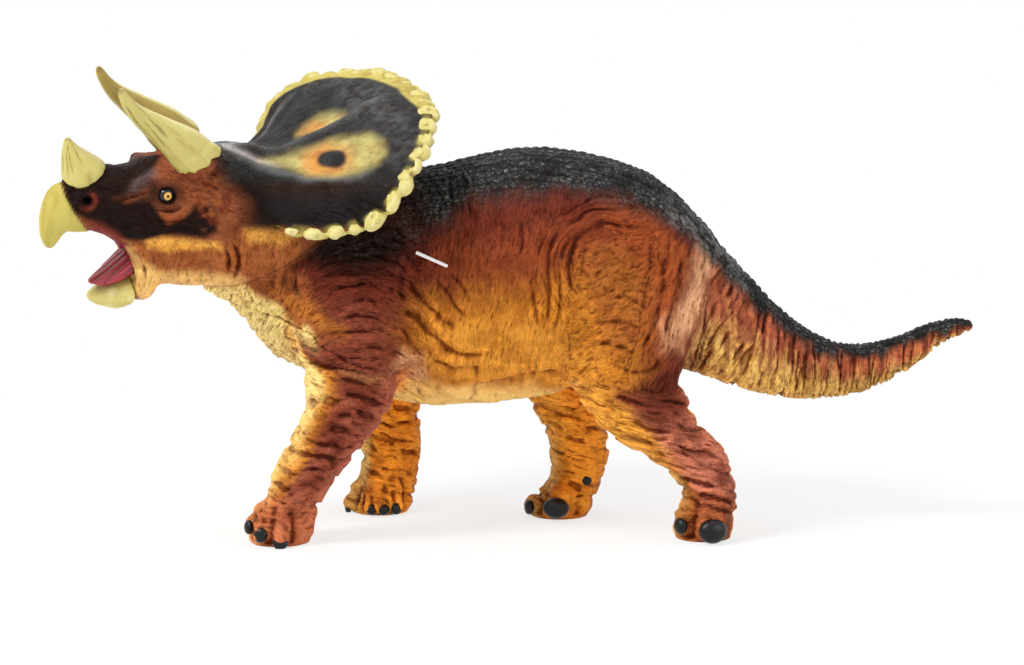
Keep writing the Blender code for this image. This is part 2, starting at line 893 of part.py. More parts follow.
def main():
    clear_scene()
    parts = new_collection("toy_dinosaur")
    tools = new_collection("cutters")
    legs = leg_plan()
    skin = make_body_skin(legs, tools)

    low_side = below_seam("low_side", 0.0, tools)
    low_side_grown = below_seam("low_side_grown", seam_gap, tools)
    cavity = as_cutter(oval_loft("cavity", trunk_rows(wall, 3, 8), tools))

    # Plane of the neck joint, parallel to the frill's edge
    frame = head_matrix()
    tilt = Matrix.Rotation(-neck_slope, 3, "Y")
    neck_normal = frame.to_3x3() @ (tilt @ Vector((0, 0, 1)))
    plane_x = -neck_spigot_forward
    plane_z = frill_tip_height - neck_plane_drop / math.cos(neck_slope)
    plane_z += (plane_x - frill_tip_back) * math.tan(neck_slope)
    neck_point = frame @ Vector((plane_x, 0, plane_z))
    above_neck = half_space("above_neck", neck_point - neck_normal * glue_gap, -neck_normal, tools)
    below_neck = half_space("below_neck", neck_point, neck_normal, tools)
    neck_peg = rod(
        "neck_peg",
        neck_point + neck_normal * spigot_depth,
        neck_point - neck_normal * spigot_depth,
        spigot_radius,
        tools,
    )
    neck_hole = rod(
        "neck_hole",
        neck_point + neck_normal * spigot_depth,
        neck_point - neck_normal * (spigot_depth + glue_gap),
        spigot_radius + glue_gap,
        tools,
    )

    # Plane of the tail joint, square to the tail's root
    root = tail_root()
    lean = math.radians(tail_share[1][2])
    tail_axis = Vector((math.cos(lean), 0, -math.sin(lean)))
    before_tail = half_space("before_tail", root, tail_axis, tools)
    behind_tail = half_space("behind_tail", root - tail_axis * glue_gap, -tail_axis, tools)
    tail_ends = (root + tail_axis * spigot_depth, root - tail_axis * spigot_depth)
    tail_peg = rod("tail_peg", *tail_ends, spigot_radius, tools)
    tail_hole = rod(
        "tail_hole",
        tail_ends[0],
        tail_ends[1] - tail_axis * glue_gap,
        spigot_radius + glue_gap,
        tools,
    )

    hollow = as_cutter(settle(cut(twin(skin, "hollow", tools), cavity)))
    make_legs(legs, hollow, low_side, parts, tools)

    body = settle(cut(twin(hollow, "body_shell", parts), low_side_grown))
    settle(cut(body, above_neck, behind_tail, neck_hole, tail_hole))
    settle(cut(body, *[leg["socket"] for leg in legs.values()]))

    belly = settle(keep(twin(hollow, "belly_shell", parts), low_side))
    zones = []
    for name, leg in legs.items():
        rows = leg_rows(leg, leg_collar + glue_gap, foot_margin)
        zones.append(as_cutter(oval_loft(name + "_notch", rows, tools)))
    settle(cut(belly, *zones, above_neck))

    tail = oval_loft("tail", tail_rows(), parts, steps=3, around=16)
    settle(fuse(cut(tail, before_tail), tail_peg))

    # Head, horns, jaw and tongue share the head's frame
    head = twin(make_head_skin(tools), "head_shell", parts)
    horns = {}
    for name, side in (("brow_horn_left", -1), ("brow_horn_right", 1)):
        place = (-brow_horn_forward, side * brow_horn_spacing / 2, brow_horn_height)
        horns[name] = (brow_horn_share, Vector(place), brow_horn_length, brow_horn_radius)
    place = Vector((-nose_horn_forward, 0, nose_horn_height))
    horns["nose_horn"] = (nose_horn_share, place, nose_horn_length, nose_horn_radius)
    seats = [horn(name + "_seat", *horns[name], tools, glue_gap) for name in horns]
    mouth = mouth_space("mouth", 0.0, tools)
    mouth_drawn = mouth_space("mouth_drawn", glue_gap, tools)
    cut(head, mouth, *seats)
    settle(head)
    made = [horn(name, *horns[name], parts) for name in horns]
    jaw_size = (jaw_drop, jaw_length, jaw_depth, jaw_width)
    jaw = mouth_piece("lower_jaw", jaw_share, *jaw_size, parts)
    jaw_grown = as_cutter(mouth_piece("jaw_grown", jaw_share, *jaw_size, tools, glue_gap))
    tongue_size = (tongue_drop, tongue_length, tongue_depth, tongue_width)
    tongue = mouth_piece("tongue", tongue_share, *tongue_size, parts)
    settle(keep(jaw, mouth_drawn))
    settle(cut(keep(tongue, mouth_drawn), jaw_grown))
    for piece in [head, jaw, tongue] + made:
        piece.data.transform(frame)
    settle(fuse(cut(head, below_neck), neck_peg))

    filling = oval_loft("fibre_filling", trunk_rows(wall + filling_gap, 3, 8), parts, around=16)

    # Tag fastener: a bar outside, a filament through the pierced wall and a bar inside
    out = Vector((0, -math.cos(tag_lean), math.sin(tag_lean)))
    start = Vector((tag_place, -trunk_width / 2, tag_height)) + out * trunk_width
    outer = first_hit(body, start, -out)
    inner = first_hit(body, outer - out * wall / 3, -out)
    sideways = Vector((math.cos(tag_tilt), 0, 0)) + out.cross(Vector((-1, 0, 0))) * math.sin(tag_tilt)
    bar_at = outer + out * (tag_standoff + tag_bar_radius)
    inner_at = inner - out * (tag_inner_gap + tag_bar_radius)
    half_bar = sideways * tag_bar_length / 2
    half_inner = sideways * tag_inner_length / 2
    pin = rod("tag_pin", bar_at - half_bar, bar_at + half_bar, tag_bar_radius, parts, 12)
    inner_bar = rod("inner_bar", inner_at - half_inner, inner_at + half_inner, tag_bar_radius, tools, 12)
    filament = rod("filament", bar_at, inner_at, tag_filament_radius, tools, 10)
    settle(fuse(pin, filament, inner_bar))
    pin.data.transform(Matrix.Translation(-bar_at))
    pin.location = bar_at
    hole = rod("tag_hole", bar_at, inner_at, tag_hole_radius, tools, 12)
    settle(cut(body, hole))
    pocket = rod(
        "tag_pocket",
        outer,
        inner - out * tag_pocket_depth,
        tag_inner_length / 2 + tag_inner_gap,
        tools,
    )
    settle(cut(filling, pocket))

    for tool in tools.objects:
        as_cutter(tool)
    for made in parts.objects:
        colour, roughness = paints[made.name]
        made.data.materials.clear()
        made.data.materials.append(principled(made.name, colour, roughness))
    stand_centred(parts, tools)


main()
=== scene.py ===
import math

import bmesh
import bpy
import numpy as np
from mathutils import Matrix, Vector
from mathutils.bvhtree import BVHTree


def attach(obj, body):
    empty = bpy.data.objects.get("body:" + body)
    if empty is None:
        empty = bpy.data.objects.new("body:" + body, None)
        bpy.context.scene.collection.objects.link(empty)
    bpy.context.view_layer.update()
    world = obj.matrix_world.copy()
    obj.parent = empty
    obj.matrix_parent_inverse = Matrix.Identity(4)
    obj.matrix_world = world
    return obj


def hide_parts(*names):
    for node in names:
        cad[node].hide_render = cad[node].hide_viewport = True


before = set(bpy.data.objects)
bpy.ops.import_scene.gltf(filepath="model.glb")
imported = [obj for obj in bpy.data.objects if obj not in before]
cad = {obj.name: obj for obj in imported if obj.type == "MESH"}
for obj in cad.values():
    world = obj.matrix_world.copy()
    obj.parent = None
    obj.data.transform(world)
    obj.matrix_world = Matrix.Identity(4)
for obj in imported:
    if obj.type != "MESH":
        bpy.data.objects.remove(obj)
bpy.context.view_layer.update()
print("frame loaded,", len(cad), "castings")

# everything below is worked out in millimetres from the middle between the fore and hind feet
middle = np.array([-1.779, 2.708, 0.0])

# the camera, as the picture was taken
view = {
    "target": (-0.001779, 0.002708, 0.0606),
    "distance": 0.9,
    "tilt": 8.0,
    "focal": 2903.0,  # in pixels of a picture 1024 wide
    "width": 1024.0,
    "height": 665.0,
    "sensor": 36,
}
tilt = math.radians(view["tilt"])
towards = np.array([0.0, -math.cos(tilt), math.sin(tilt)])
upward = np.array([0.0, math.sin(tilt), math.cos(tilt)])
aim = np.array([0.0, 0.0, 60.6])
eyePoint = aim + towards * view["distance"] * 1000


def picturePlace(points):
    offset = points - aim
    depth = view["distance"] * 1000 - offset @ towards
    across = view["width"] / 2 + view["focal"] * offset[:, 0] / depth
    down = view["height"] / 2 - view["focal"] * (offset @ upward) / depth
    return np.stack([across, down], 1)


def sightLine(across, down):
    ray = np.array([(across - view["width"] / 2) / view["focal"], 0, 0]) - towards
    return ray + upward * (view["height"] / 2 - down) / view["focal"]


# the head's own frame: x back from the beak, y to its far side, z up
headWork = {"neck": (-66.0, 0.0, 91.3), "yaw": 25.0, "roll": 14.5}
neck = np.array(headWork["neck"])
cosYaw, sinYaw = math.cos(math.radians(headWork["yaw"])), math.sin(math.radians(headWork["yaw"]))
cosRoll, sinRoll = math.cos(math.radians(headWork["roll"])), math.sin(math.radians(headWork["roll"]))
headTurn = np.array([
    [cosYaw, -sinYaw * cosRoll, sinYaw * sinRoll],
    [sinYaw, cosYaw * cosRoll, -cosYaw * sinRoll],
    [0, sinRoll, cosRoll],
])


def toHead(points):
    return (points - neck) @ headTurn


def fromHead(points):
    return points @ headTurn.T + neck


def mirrored(points):  # the far half folded onto the near one
    points = points.copy()
    points[:, 1] = -np.abs(points[:, 1])
    return points


def headPicture(points):
    return picturePlace(fromHead(mirrored(toHead(points))))


# numbers over many points at once
def smoothStep(low, high, value):
    share = np.clip((value - low) / (high - low), 0, 1)
    return share * share * (3 - 2 * share)


def mist(points, seed=0):  # smooth random values from -1 to 1, about one swing per unit
    base = np.floor(points).astype(np.int64)
    part = points - base
    part = part * part * part * (part * (part * 6 - 15) + 10)
    total = np.zeros(len(points))
    for corner in range(8):
        step = np.array([corner & 1, corner >> 1 & 1, corner >> 2 & 1])
        cell = base + step
        code = cell[:, 0] * 73856093 ^ cell[:, 1] * 19349663 ^ cell[:, 2] * 83492791 ^ (seed * 7919 + 77)
        code = (code ^ code >> 13) * 1274126177 & 0x7FFFFFFF
        code = (code ^ code >> 15) * 2246822519 & 0x7FFFFFFF
        weight = np.prod(np.where(step, part, 1 - part), axis=1)
        total += weight * ((code >> 7 & 0xFFFF) / 32767.5 - 1)
    return total


def clouds(points, size, seed=0, layers=3):
    total, weight = np.zeros(len(points)), 1.0
    for layer in range(layers):
        total += mist(points * (2.03**layer / size), seed + layer * 17) * weight
        weight *= 0.5
    return total


def creases(along, across, depth, size, stretch, seed=0):
    # long soft grooves between rounded ridges: 0 on a ridge, about -1 in a groove
    spots = np.stack([across / size, along / (size * stretch), depth / (size * 3)], 1)
    spots[:, 0] += mist(spots * 0.45 + 9.1, seed + 3) * 0.5
    wide = smoothStep(-0.05, 0.6, mist(spots, seed))
    narrow = smoothStep(0.0, 0.6, mist(spots * 1.8 + 4.7, seed + 5))
    return -wide - 0.45 * narrow * (1 - wide)


# meshes as arrays of points and faces
def meshArrays(item):
    mesh = item.data
    spots = np.zeros(len(mesh.vertices) * 3)
    mesh.vertices.foreach_get("co", spots)
    mesh.calc_loop_triangles()
    corners = np.zeros(len(mesh.loop_triangles) * 3, np.int64)
    mesh.loop_triangles.foreach_get("vertices", corners)
    spots, back = np.unique(np.round(spots.reshape(-1, 3), 7), axis=0, return_inverse=True)
    return spots, back.ravel()[corners].reshape(-1, 3)


def pointNormals(spots, faces):
    count = faces.shape[1]
    a, b = spots[faces[:, 2]] - spots[faces[:, 0]], spots[faces[:, count - 1]] - spots[faces[:, 1]]
    flat = np.cross(a, b) if count == 4 else np.cross(spots[faces[:, 1]] - spots[faces[:, 0]], a)
    total = np.zeros_like(spots)
    for axis in range(3):
        for corner in range(count):
            total[:, axis] += np.bincount(faces[:, corner], flat[:, axis], len(spots))
    return total / (np.linalg.norm(total, axis=1, keepdims=True) + 1e-15)


def edgePairs(faces):
    count = faces.shape[1]
    pairs = np.concatenate([faces[:, [k, (k + 1) % count]] for k in range(count)])
    return np.unique(np.sort(pairs, axis=1), axis=0)


def smoothed(values, pairs, passes, rate=0.6):
    count = len(values)
    degree = np.maximum(np.bincount(pairs.ravel(), minlength=count), 1)
    flat = values.reshape(count, -1).astype(float)
    step = rate if np.isscalar(rate) else rate[:, None]
    for _ in range(passes):
        near = np.empty_like(flat)
        for k in range(flat.shape[1]):
            near[:, k] = np.bincount(pairs[:, 0], flat[pairs[:, 1], k], count)
            near[:, k] += np.bincount(pairs[:, 1], flat[pairs[:, 0], k], count)
        near /= degree[:, None]
        flat = flat + step * (near - flat)
    return flat.reshape(values.shape)


def softened(spots, pairs, passes, rate=0.6):  # takes the facets off, keeps the size
    once = smoothed(spots, pairs, passes, rate)
    return once + smoothed(spots - once, pairs, passes, rate)


def hollows(wave, pairs, passes, depth):  # where a carved wave lies below what is around it
    return np.clip((smoothed(wave, pairs, passes) - wave) / depth, 0, 1)


def remeshed(spots, faces, grain):
    mesh = bpy.data.meshes.new("work")
    mesh.from_pydata(spots.tolist(), [], faces.tolist())
    work = bpy.data.objects.new("work", mesh)
    bpy.context.scene.collection.objects.link(work)
    remesh = work.modifiers.new("remesh", "REMESH")
    remesh.mode = "VOXEL"
    remesh.voxel_size = grain
    made = bpy.data.meshes.new_from_object(work.evaluated_get(bpy.context.evaluated_depsgraph_get()))
    spots = np.zeros(len(made.vertices) * 3)
    made.vertices.foreach_get("co", spots)
    faces = np.zeros(len(made.polygons) * 4, np.int64)
    made.polygons.foreach_get("vertices", faces)
    bpy.data.objects.remove(work)
    bpy.data.meshes.remove(mesh)
    bpy.data.meshes.remove(made)
    return spots.reshape(-1, 3), faces.reshape(-1, 4)


def outerPart(spots, faces):  # the island that holds the highest point
    pairs = edgePairs(faces)
    label = np.arange(len(spots))
    while True:
        low = np.minimum(label[pairs[:, 0]], label[pairs[:, 1]])
        new = label.copy()
        np.minimum.at(new, pairs[:, 0], low)
        np.minimum.at(new, pairs[:, 1], low)
        new = new[new]
        if (new == label).all():
            break
        label = new
    keep = label == label[np.argmax(spots[:, 2])]
    place = np.cumsum(keep) - 1
    return spots[keep], place[faces[keep[faces[:, 0]]]]


def ballArrays(place, radii, turn=None, steps=3):
    work = bmesh.new()
    bmesh.ops.create_icosphere(work, subdivisions=steps, radius=1)
    spots = np.array([v.co for v in work.verts])
    faces = np.array([[v.index for v in f.verts] for f in work.faces])
    work.free()
    spots = spots * np.array(radii)
    if turn is not None:
        spots = spots @ turn.T
    return spots + np.array(place), faces


def joined(parts):
    spots, faces, count = [], [], 0
    for some, tied in parts:
        spots.append(some)
        faces.append(tied + count)
        count += len(some)
    return np.vstack(spots), np.vstack(faces)


def searchTree(spots, faces):
    return BVHTree.FromPolygons(spots.tolist(), faces.tolist())


def runAlong(line):  # the length of a line up to each of its points
    return np.concatenate([[0], np.cumsum(np.linalg.norm(np.diff(line, axis=0), axis=1))])


def smoothCurve(points, steps=6):  # through the points, with rounded bends
    points = np.array(points, float)
    ends = np.vstack([2 * points[0] - points[1], points, 2 * points[-1] - points[-2]])
    out = []
    for k in range(1, len(ends) - 2):
        a, b, c, d = ends[k - 1 : k + 3]
        bend, twist = 2 * a - 5 * b + 4 * c - d, 3 * b - a - 3 * c + d
        for t in np.linspace(0, 1, steps, endpoint=False):
            out.append(0.5 * (2 * b + (c - a) * t + bend * t**2 + twist * t**3))
    out.append(points[-1])
    return np.array(out)


def lineDistance(spots, line, reach):  # distance to a line, and place along it from 0 to 1
    best = np.full(len(spots), 1e6)
    place = np.zeros(len(spots))
    run = runAlong(line)
    low, high = line.min(0) - reach, line.max(0) + reach
    near = np.flatnonzero(((spots >= low) & (spots <= high)).all(1))
    some = spots[near]
    for k in range(len(line) - 1):
        step = line[k + 1] - line[k]
        offset = some - line[k]
        share = np.clip(offset @ step / (step @ step + 1e-12), 0, 1)
        distance = np.linalg.norm(offset - share[:, None] * step, axis=1)
        closer = distance < best[near]
        best[near[closer]] = distance[closer]
        place[near[closer]] = ((run[k] + share * (run[k + 1] - run[k])) / run[-1])[closer]
    return best, place


def fold(spots, points, width, depth, lip=0.35, fade=0.3):
    # one carved fold: a groove with raised lips, narrow and shallow at its ends
    distance, place = lineDistance(spots, smoothCurve(points), width * 4)
    ends = smoothStep(0, fade, place) * smoothStep(0, fade, 1 - place)
    broad = width * (0.5 + 0.5 * ends)
    groove = np.exp(-((distance / broad) ** 2))
    lips = np.exp(-(((distance - 2.1 * broad) / broad) ** 2))
    return (lip * lips - groove) * ends * depth


def stripe(spots, points, width):  # 1 on a line, 0 beside it and at its ends
    return fold(spots, points, width, -1.0, 0)


def zone(spots, points, soft):  # 1 inside an outline, 0 outside, soft at its edge
    line = np.array(points + points[:1], float)
    distance, _ = lineDistance(spots, line, soft * 2 + 2)
    inside = np.zeros(len(spots), bool)
    for a, b in zip(line, line[1:]):
        crosses = (a[1] > spots[:, 1]) != (b[1] > spots[:, 1])
        at = (b[0] - a[0]) * (spots[:, 1] - a[1]) / (b[1] - a[1] + 1e-9) + a[0]
        inside ^= crosses & (spots[:, 0] < at)
    return smoothStep(-soft, soft, np.where(inside, distance, -distance))


def colour(red, green, blue):  # a paint as seen, 0 to 255, to the values that render so
    seen = np.array([red, green, blue]) / 255
    return np.where(seen <= 0.04045, seen / 12.92, ((seen + 0.055) / 1.055) ** 2.4)


# the skin: one smooth surface over the castings, later parted at their seams
skin = {
    "grain": 0.0006,
    "swell": 0.0002,
    "passes": 22,
    "rates": {"plain": 0.6, "beak": 0.22, "toes": 0.35, "tailTip": 0.25},  # less where an edge is kept
    "castings": [
        "body_shell", "belly_shell", "tail", "head_shell",
        "foreleg_left", "foreleg_right", "hindleg_left", "hindleg_right",
    ],
    "inside": ["fibre_filling", "brow_horn_left", "brow_horn_right", "nose_horn"],
    "tagPlug": (-23.9, -28.6, 86.9),
    "plugRadius": 0.0032,
    "eased": [((52, -19, 44), 9.0), ((-36, -24, 44), 8.0)],  # behind the thigh and the elbow
}
castNames = skin["castings"] + skin["inside"]
order = {name: k for k, name in enumerate(castNames)}
castMeshes = [meshArrays(cad[name]) for name in castNames]
parts = [(some + pointNormals(some, tied) * skin["swell"], tied) for some, tied in castMeshes]
parts.append(ballArrays((np.array(skin["tagPlug"]) + middle) / 1000, (skin["plugRadius"],) * 3))
spots, faces = outerPart(*remeshed(*joined(parts), skin["grain"]))
pairs = edgePairs(faces)
print("skin meshed,", len(spots), "points")

owners = np.repeat(np.arange(len(castNames)), [len(tied) for _, tied in castMeshes])
castTree = searchTree(*joined(castMeshes))
nearest = owners[[castTree.find_nearest(p)[2] for p in spots.tolist()]]
headTree = searchTree(*castMeshes[order["head_shell"]])
hornFoot = {"middle": (201.5, 161.0), "along": (0.868, -0.496), "down": (0.496, 0.868), "half": 19, "dip": 4.6}


def pastHorn(places):  # pixels past the lower edge of a brow horn
    offset = places - np.array(hornFoot["middle"])
    along = offset @ np.array(hornFoot["along"]) / hornFoot["half"]
    edge = hornFoot["dip"] * np.clip(1 - along**2, -1, 1)
    return offset @ np.array(hornFoot["down"]) - edge - 0.9 * np.sin(along * 9)


onHorns = np.flatnonzero(nearest >= order["brow_horn_left"])
beyond = pastHorn(headPicture(spots[onHorns] * 1000 - middle))
for point, past in zip(onHorns, beyond):
    closeBy = headTree.find_nearest(spots[point].tolist())[3] < 0.0011
    if closeBy or (past > 0 and nearest[point] < order["nose_horn"]):
        nearest[point] = order["head_shell"]
print("skin parted between castings")

spots = spots * 1000 - middle
rates = skin["rates"]
rate = np.full(len(spots), rates["plain"])
rate[(toHead(spots)[:, 0] < -66) & (nearest == order["head_shell"])] = rates["beak"]
rate[spots[:, 2] < 9] = rates["toes"]
rate[spots[:, 0] > 128] = rates["tailTip"]
spots = softened(spots, pairs, skin["passes"], rate)
oneSide = mirrored(spots)
for place, reach in skin["eased"]:
    near = np.exp(-((np.linalg.norm(oneSide - np.array(place), axis=1) / reach) ** 2))
    spots = smoothed(spots, pairs, 70, 0.9 * near)
spots[:, 2] = np.maximum(spots[:, 2], 0)
normals = pointNormals(spots, faces)


def softMask(names, passes):
    mask = np.isin(nearest, [order[n] for n in names]).astype(float)
    return smoothed(mask, pairs, passes)


onHead = softMask(["head_shell", "brow_horn_left", "brow_horn_right", "nose_horn"], 12)
onTail = softMask(["tail"], 40)
onLegs = {n: softMask([n], 30) for n in castNames if "leg_" in n}
legShare = sum(onLegs.values())
onTrunk = np.clip(1 - onHead - onTail - legShare, 0, 1)
offHead = 1 - onHead
isHead = onHead > 0.5
headSpots = toHead(spots)
headX, headY = headSpots[:, 0], headSpots[:, 1]
headNormals = normals @ headTurn
# places in the picture: the head's and the body's as on the near side, and as they are
nearHead = headPicture(spots)
bodyPlace = picturePlace(mirrored(spots))
bodyX, bodyY = bodyPlace.T
headSeen = picturePlace(spots)
pixel = 1 / 3.3  # mm for one pixel on the near side
chin = {"place": (66, 226, 238), "reach": 11, "move": (-0.5, 0, 1.9)}  # fuller under the beak's tip
beakFill = smoothStep(*chin["place"][1:], nearHead[:, 1]) * isHead
beakFill = beakFill * np.exp(-(((nearHead[:, 0] - chin["place"][0]) / chin["reach"]) ** 2))
spots += beakFill[:, None] * np.array(chin["move"])


def middleLine(mask, axis, step):  # the middle of a long casting at each step of an axis, and its half width
    some = spots[mask]
    out = []
    for a in np.arange(some[:, axis].min(), some[:, axis].max() + step, step):
        ring = some[np.abs(some[:, axis] - a) < step]
        if len(ring) > 20:
            low, high = ring.min(0), ring.max(0)
            mid = (low + high) / 2
            mid[axis] = a
            out.append(np.append(mid, np.delete(high - low, axis).mean() / 2))
    return np.array(out)


# folds of the trunk, traced on the near side and pressed into both: line in the picture, width, depth
trunkFolds = {
    "flank": [
        ([(572, 223), (556, 236), (549, 262), (549, 296), (545, 332)], 2.6, 0.85),
        ([(532, 262), (533, 282), (535, 300), (538, 330)], 1.8, 0.5),
        ([(562, 246), (560, 280), (558, 320), (552, 350)], 2.2, 0.6),
        ([(590, 226), (575, 240), (570, 262), (572, 300)], 2.2, 0.6),
        ([(611, 228), (590, 240), (582, 262), (582, 290)], 2.0, 0.45),
        ([(520, 215), (522, 240), (519, 262)], 1.8, 0.35),
        ([(500, 214), (503, 240), (498, 258)], 1.8, 0.35),
        ([(538, 222), (541, 240), (536, 262)], 1.8, 0.4),
        ([(404, 262), (411, 282), (420, 299), (441, 321), (468, 337)], 2.6, 0.8),
        ([(431, 272), (444, 292), (456, 309), (472, 320)], 2.4, 0.7),
        ([(448, 266), (463, 290), (474, 308)], 2.0, 0.5),
        ([(395, 292), (403, 309), (417, 318), (433, 338), (452, 352), (476, 356), (498, 350)], 3.2, 1.1),
        ([(418, 340), (434, 360), (455, 369), (486, 371), (520, 366)], 2.6, 0.8),
        ([(400, 322), (412, 345), (428, 362)], 2.2, 0.6),
        ([(462, 393), (496, 385), (538, 379), (576, 371)], 5.0, 2.6),
    ],
    "back": [
        ([(462, 166), (464, 185), (468, 206), (468, 222)], 1.6, 0.7),
        ([(471, 172), (470, 190), (472, 208)], 1.4, 0.5),
        ([(448, 176), (452, 196), (455, 214)], 1.4, 0.5),
        ([(438, 184), (440, 204), (442, 224)], 1.4, 0.4),
        ([(471, 182), (500, 174), (540, 173), (575, 178), (610, 190)], 1.3, 0.45),
        ([(580, 160), (620, 172), (650, 186), (678, 206)], 1.3, 0.4),
    ],
    "haunch": [
        ([(672, 222), (668, 250), (662, 290), (652, 330), (640, 352)], 2.6, 0.7),
        ([(684, 250), (676, 290), (667, 326), (668, 345)], 2.2, 0.55),
        ([(655, 215), (652, 240), (650, 280), (640, 310)], 2.0, 0.4),
        ([(668, 346), (655, 366), (640, 372), (612, 366)], 2.4, 0.6),
        ([(604, 300), (622, 296), (640, 304), (650, 318)], 2.0, 0.5),
        ([(585, 330), (604, 322), (626, 324), (640, 336)], 2.0, 0.5),
        ([(580, 352), (600, 344), (622, 348), (640, 358)], 2.2, 0.55),
    ],
    "shoulder": [
        ([(300, 284), (330, 272), (360, 268), (392, 276), (408, 292)], 2.2, 0.5),
        ([(322, 296), (345, 285), (370, 285), (392, 298)], 2.2, 0.6),
        ([(330, 310), (348, 300), (368, 300), (386, 312)], 2.2, 0.6),
        ([(338, 322), (354, 314), (372, 316), (386, 326)], 2.2, 0.55),
        ([(340, 336), (360, 331), (380, 334)], 2.4, 0.6),
        ([(352, 352), (372, 346), (392, 352)], 2.6, 0.7),
        ([(410, 252), (402, 275), (404, 300), (412, 322)], 2.4, 0.6),
        ([(300, 250), (292, 275), (296, 300)], 2.0, 0.4),
        ([(272, 250), (268, 276), (278, 300)], 1.8, 0.35),
    ],
    "neck": [
        ([(234, 243), (239, 258), (238, 275), (232, 284)], 2.2, 0.7),
        ([(226, 246), (230, 262), (228, 276)], 1.8, 0.5),
    ],
    "seam": [
        ([(228, 300), (239, 307), (251, 308), (264, 314), (277, 318), (295, 327), (308, 334), (315, 343),
          (325, 351), (344, 360), (366, 367), (384, 368), (400, 366), (412, 360)], 1.1, 0.75),
    ],
}
foldWork = {"sway": 2.2, "widen": 1.25, "deepen": 0.95, "lip": 0.55, "seamLip": 0.05}
lift = np.zeros(len(spots))
foldPlace = bodyPlace + foldWork["sway"] * np.stack([clouds(spots, 6.0, seed, 2) for seed in (5, 6)], 1)
for name, lines in trunkFolds.items():
    share = onHead if name == "neck" else np.clip(onTrunk + 0.6 * offHead * (1 - onTail), 0, 1)
    widen, lip = (1, foldWork["seamLip"]) if name == "seam" else (foldWork["widen"], foldWork["lip"])
    for points, width, depth in lines:
        lift += fold(foldPlace, points, width * widen, depth * foldWork["deepen"], lip) * share

# wrinkles of each region, by coordinates that run across and along the folds
xAt, yAt = (bodyPlace * pixel).T
depthAt = np.abs(spots[:, 1])
flows = {kind: np.zeros((len(spots), 3)) for kind in "ABCD"}
shares = {kind: np.zeros(len(spots)) for kind in "ABCD"}


def around(centre, places):  # distance from a point and angle about it, in the picture
    offset = places - np.array(centre) * pixel
    return np.linalg.norm(offset, axis=1), np.arctan2(offset[:, 1], offset[:, 0])


def wrinkled(kind, weight, along, across, size, stretch, height, fine, seed, depth=depthAt):
    # the depth of the folds, and the same coordinates kept for the finer ones of the shader
    sway = 0.9 * clouds(spots, 6.0, seed + 40, 2)
    share = smoothStep(0.1, 0.5, weight) * fine
    chosen = share > shares[kind]
    detail = size * 0.5
    places = [(across + sway) / detail, along / (detail * stretch * 1.2), depth / (detail * 4) + seed]
    flows[kind][chosen] = np.stack(places, 1)[chosen]
    shares[kind][chosen] = share[chosen]
    return height * weight * creases(along, across + sway, depth * 0.5, size, stretch, seed)


haunchRadius, haunchAngle = around((610.0, 268.0), bodyPlace * pixel)
haunchAngle = np.mod(haunchAngle - math.radians(40), math.tau)  # its cut runs down and back
haunch = smoothStep(548, 592, bodyX) * offHead
shoulder = smoothStep(440, 400, bodyX) * smoothStep(296, 326, bodyX) * offHead
chest = smoothStep(326, 296, bodyX) * offHead
flank = np.clip(1 - haunch - shoulder - chest, 0, 1) * offHead
arch = 0.018 * (xAt - 356 * pixel) ** 2
rear = smoothStep(634, 664, bodyX + 0.25 * (bodyY - 280)) * onTrunk
onion = smoothStep(9.5, 12.5, haunchRadius) * smoothStep(25, 19, haunchRadius) * onTrunk  # rings round the hip
onion *= smoothStep(265, 240, np.degrees(haunchAngle)) * smoothStep(92, 112, np.degrees(haunchAngle))
netted = onTrunk * haunch * (1 - onion) * (1 - rear)
ringed = haunchRadius + 0.6 * clouds(spots, 9.0, 207, 2)
wrinkles = np.zeros(len(spots))
for row in [
    # flow, share, along, across, size, stretch, height, share of fine folds, seed
    ("C", netted, xAt * 0.8 - yAt * 0.6, yAt * 0.8 + xAt * 0.35, 1.6, 2.2, 0.65, 1.0, 13),
    ("A", haunch * rear * (1 - onion), yAt, xAt + 0.3 * yAt, 1.6, 3.6, 0.7, 1.0, 11),
    ("A", onTrunk * shoulder, xAt, yAt - arch, 1.6, 3.4, 0.8, 0.95, 23),
    ("B", onTrunk * flank * (1 - onion), yAt, xAt + 0.16 * yAt, 1.5, 4.0, 0.4, 0.9, 31),
    ("D", onion, haunchAngle * 22, ringed, 1.8, 9.0, 1.1, 1.0, 29),
    ("C", onTrunk * chest, yAt - xAt * 0.5, xAt + 0.5 * yAt, 1.5, 2.6, 0.6, 1.0, 37),
]:
    wrinkles += wrinkled(*row)
shares["B"] *= 1 - 0.6 * smoothStep(364, 382, bodyY) * onTrunk

legRings = {}
for name, mask in onLegs.items():
    line = middleLine(mask > 0.5, 2, 3.0)
    midX, midY = (np.interp(spots[:, 2], line[:, 2], line[:, k]) for k in (0, 1))
    ahead, aside = spots[:, 0] - midX, spots[:, 1] - midY
    legRings[name] = (np.arctan2(aside, ahead), midX, midY)
    share, across, seed = mask * smoothStep(1, 6, spots[:, 2]), spots[:, 2] + 0.25 * ahead, 41 + len(legRings)
    wrinkles += wrinkled("D", share, ahead, across, 2.1, 3.2, 1.35, 1.0, seed, aside * 1.2)

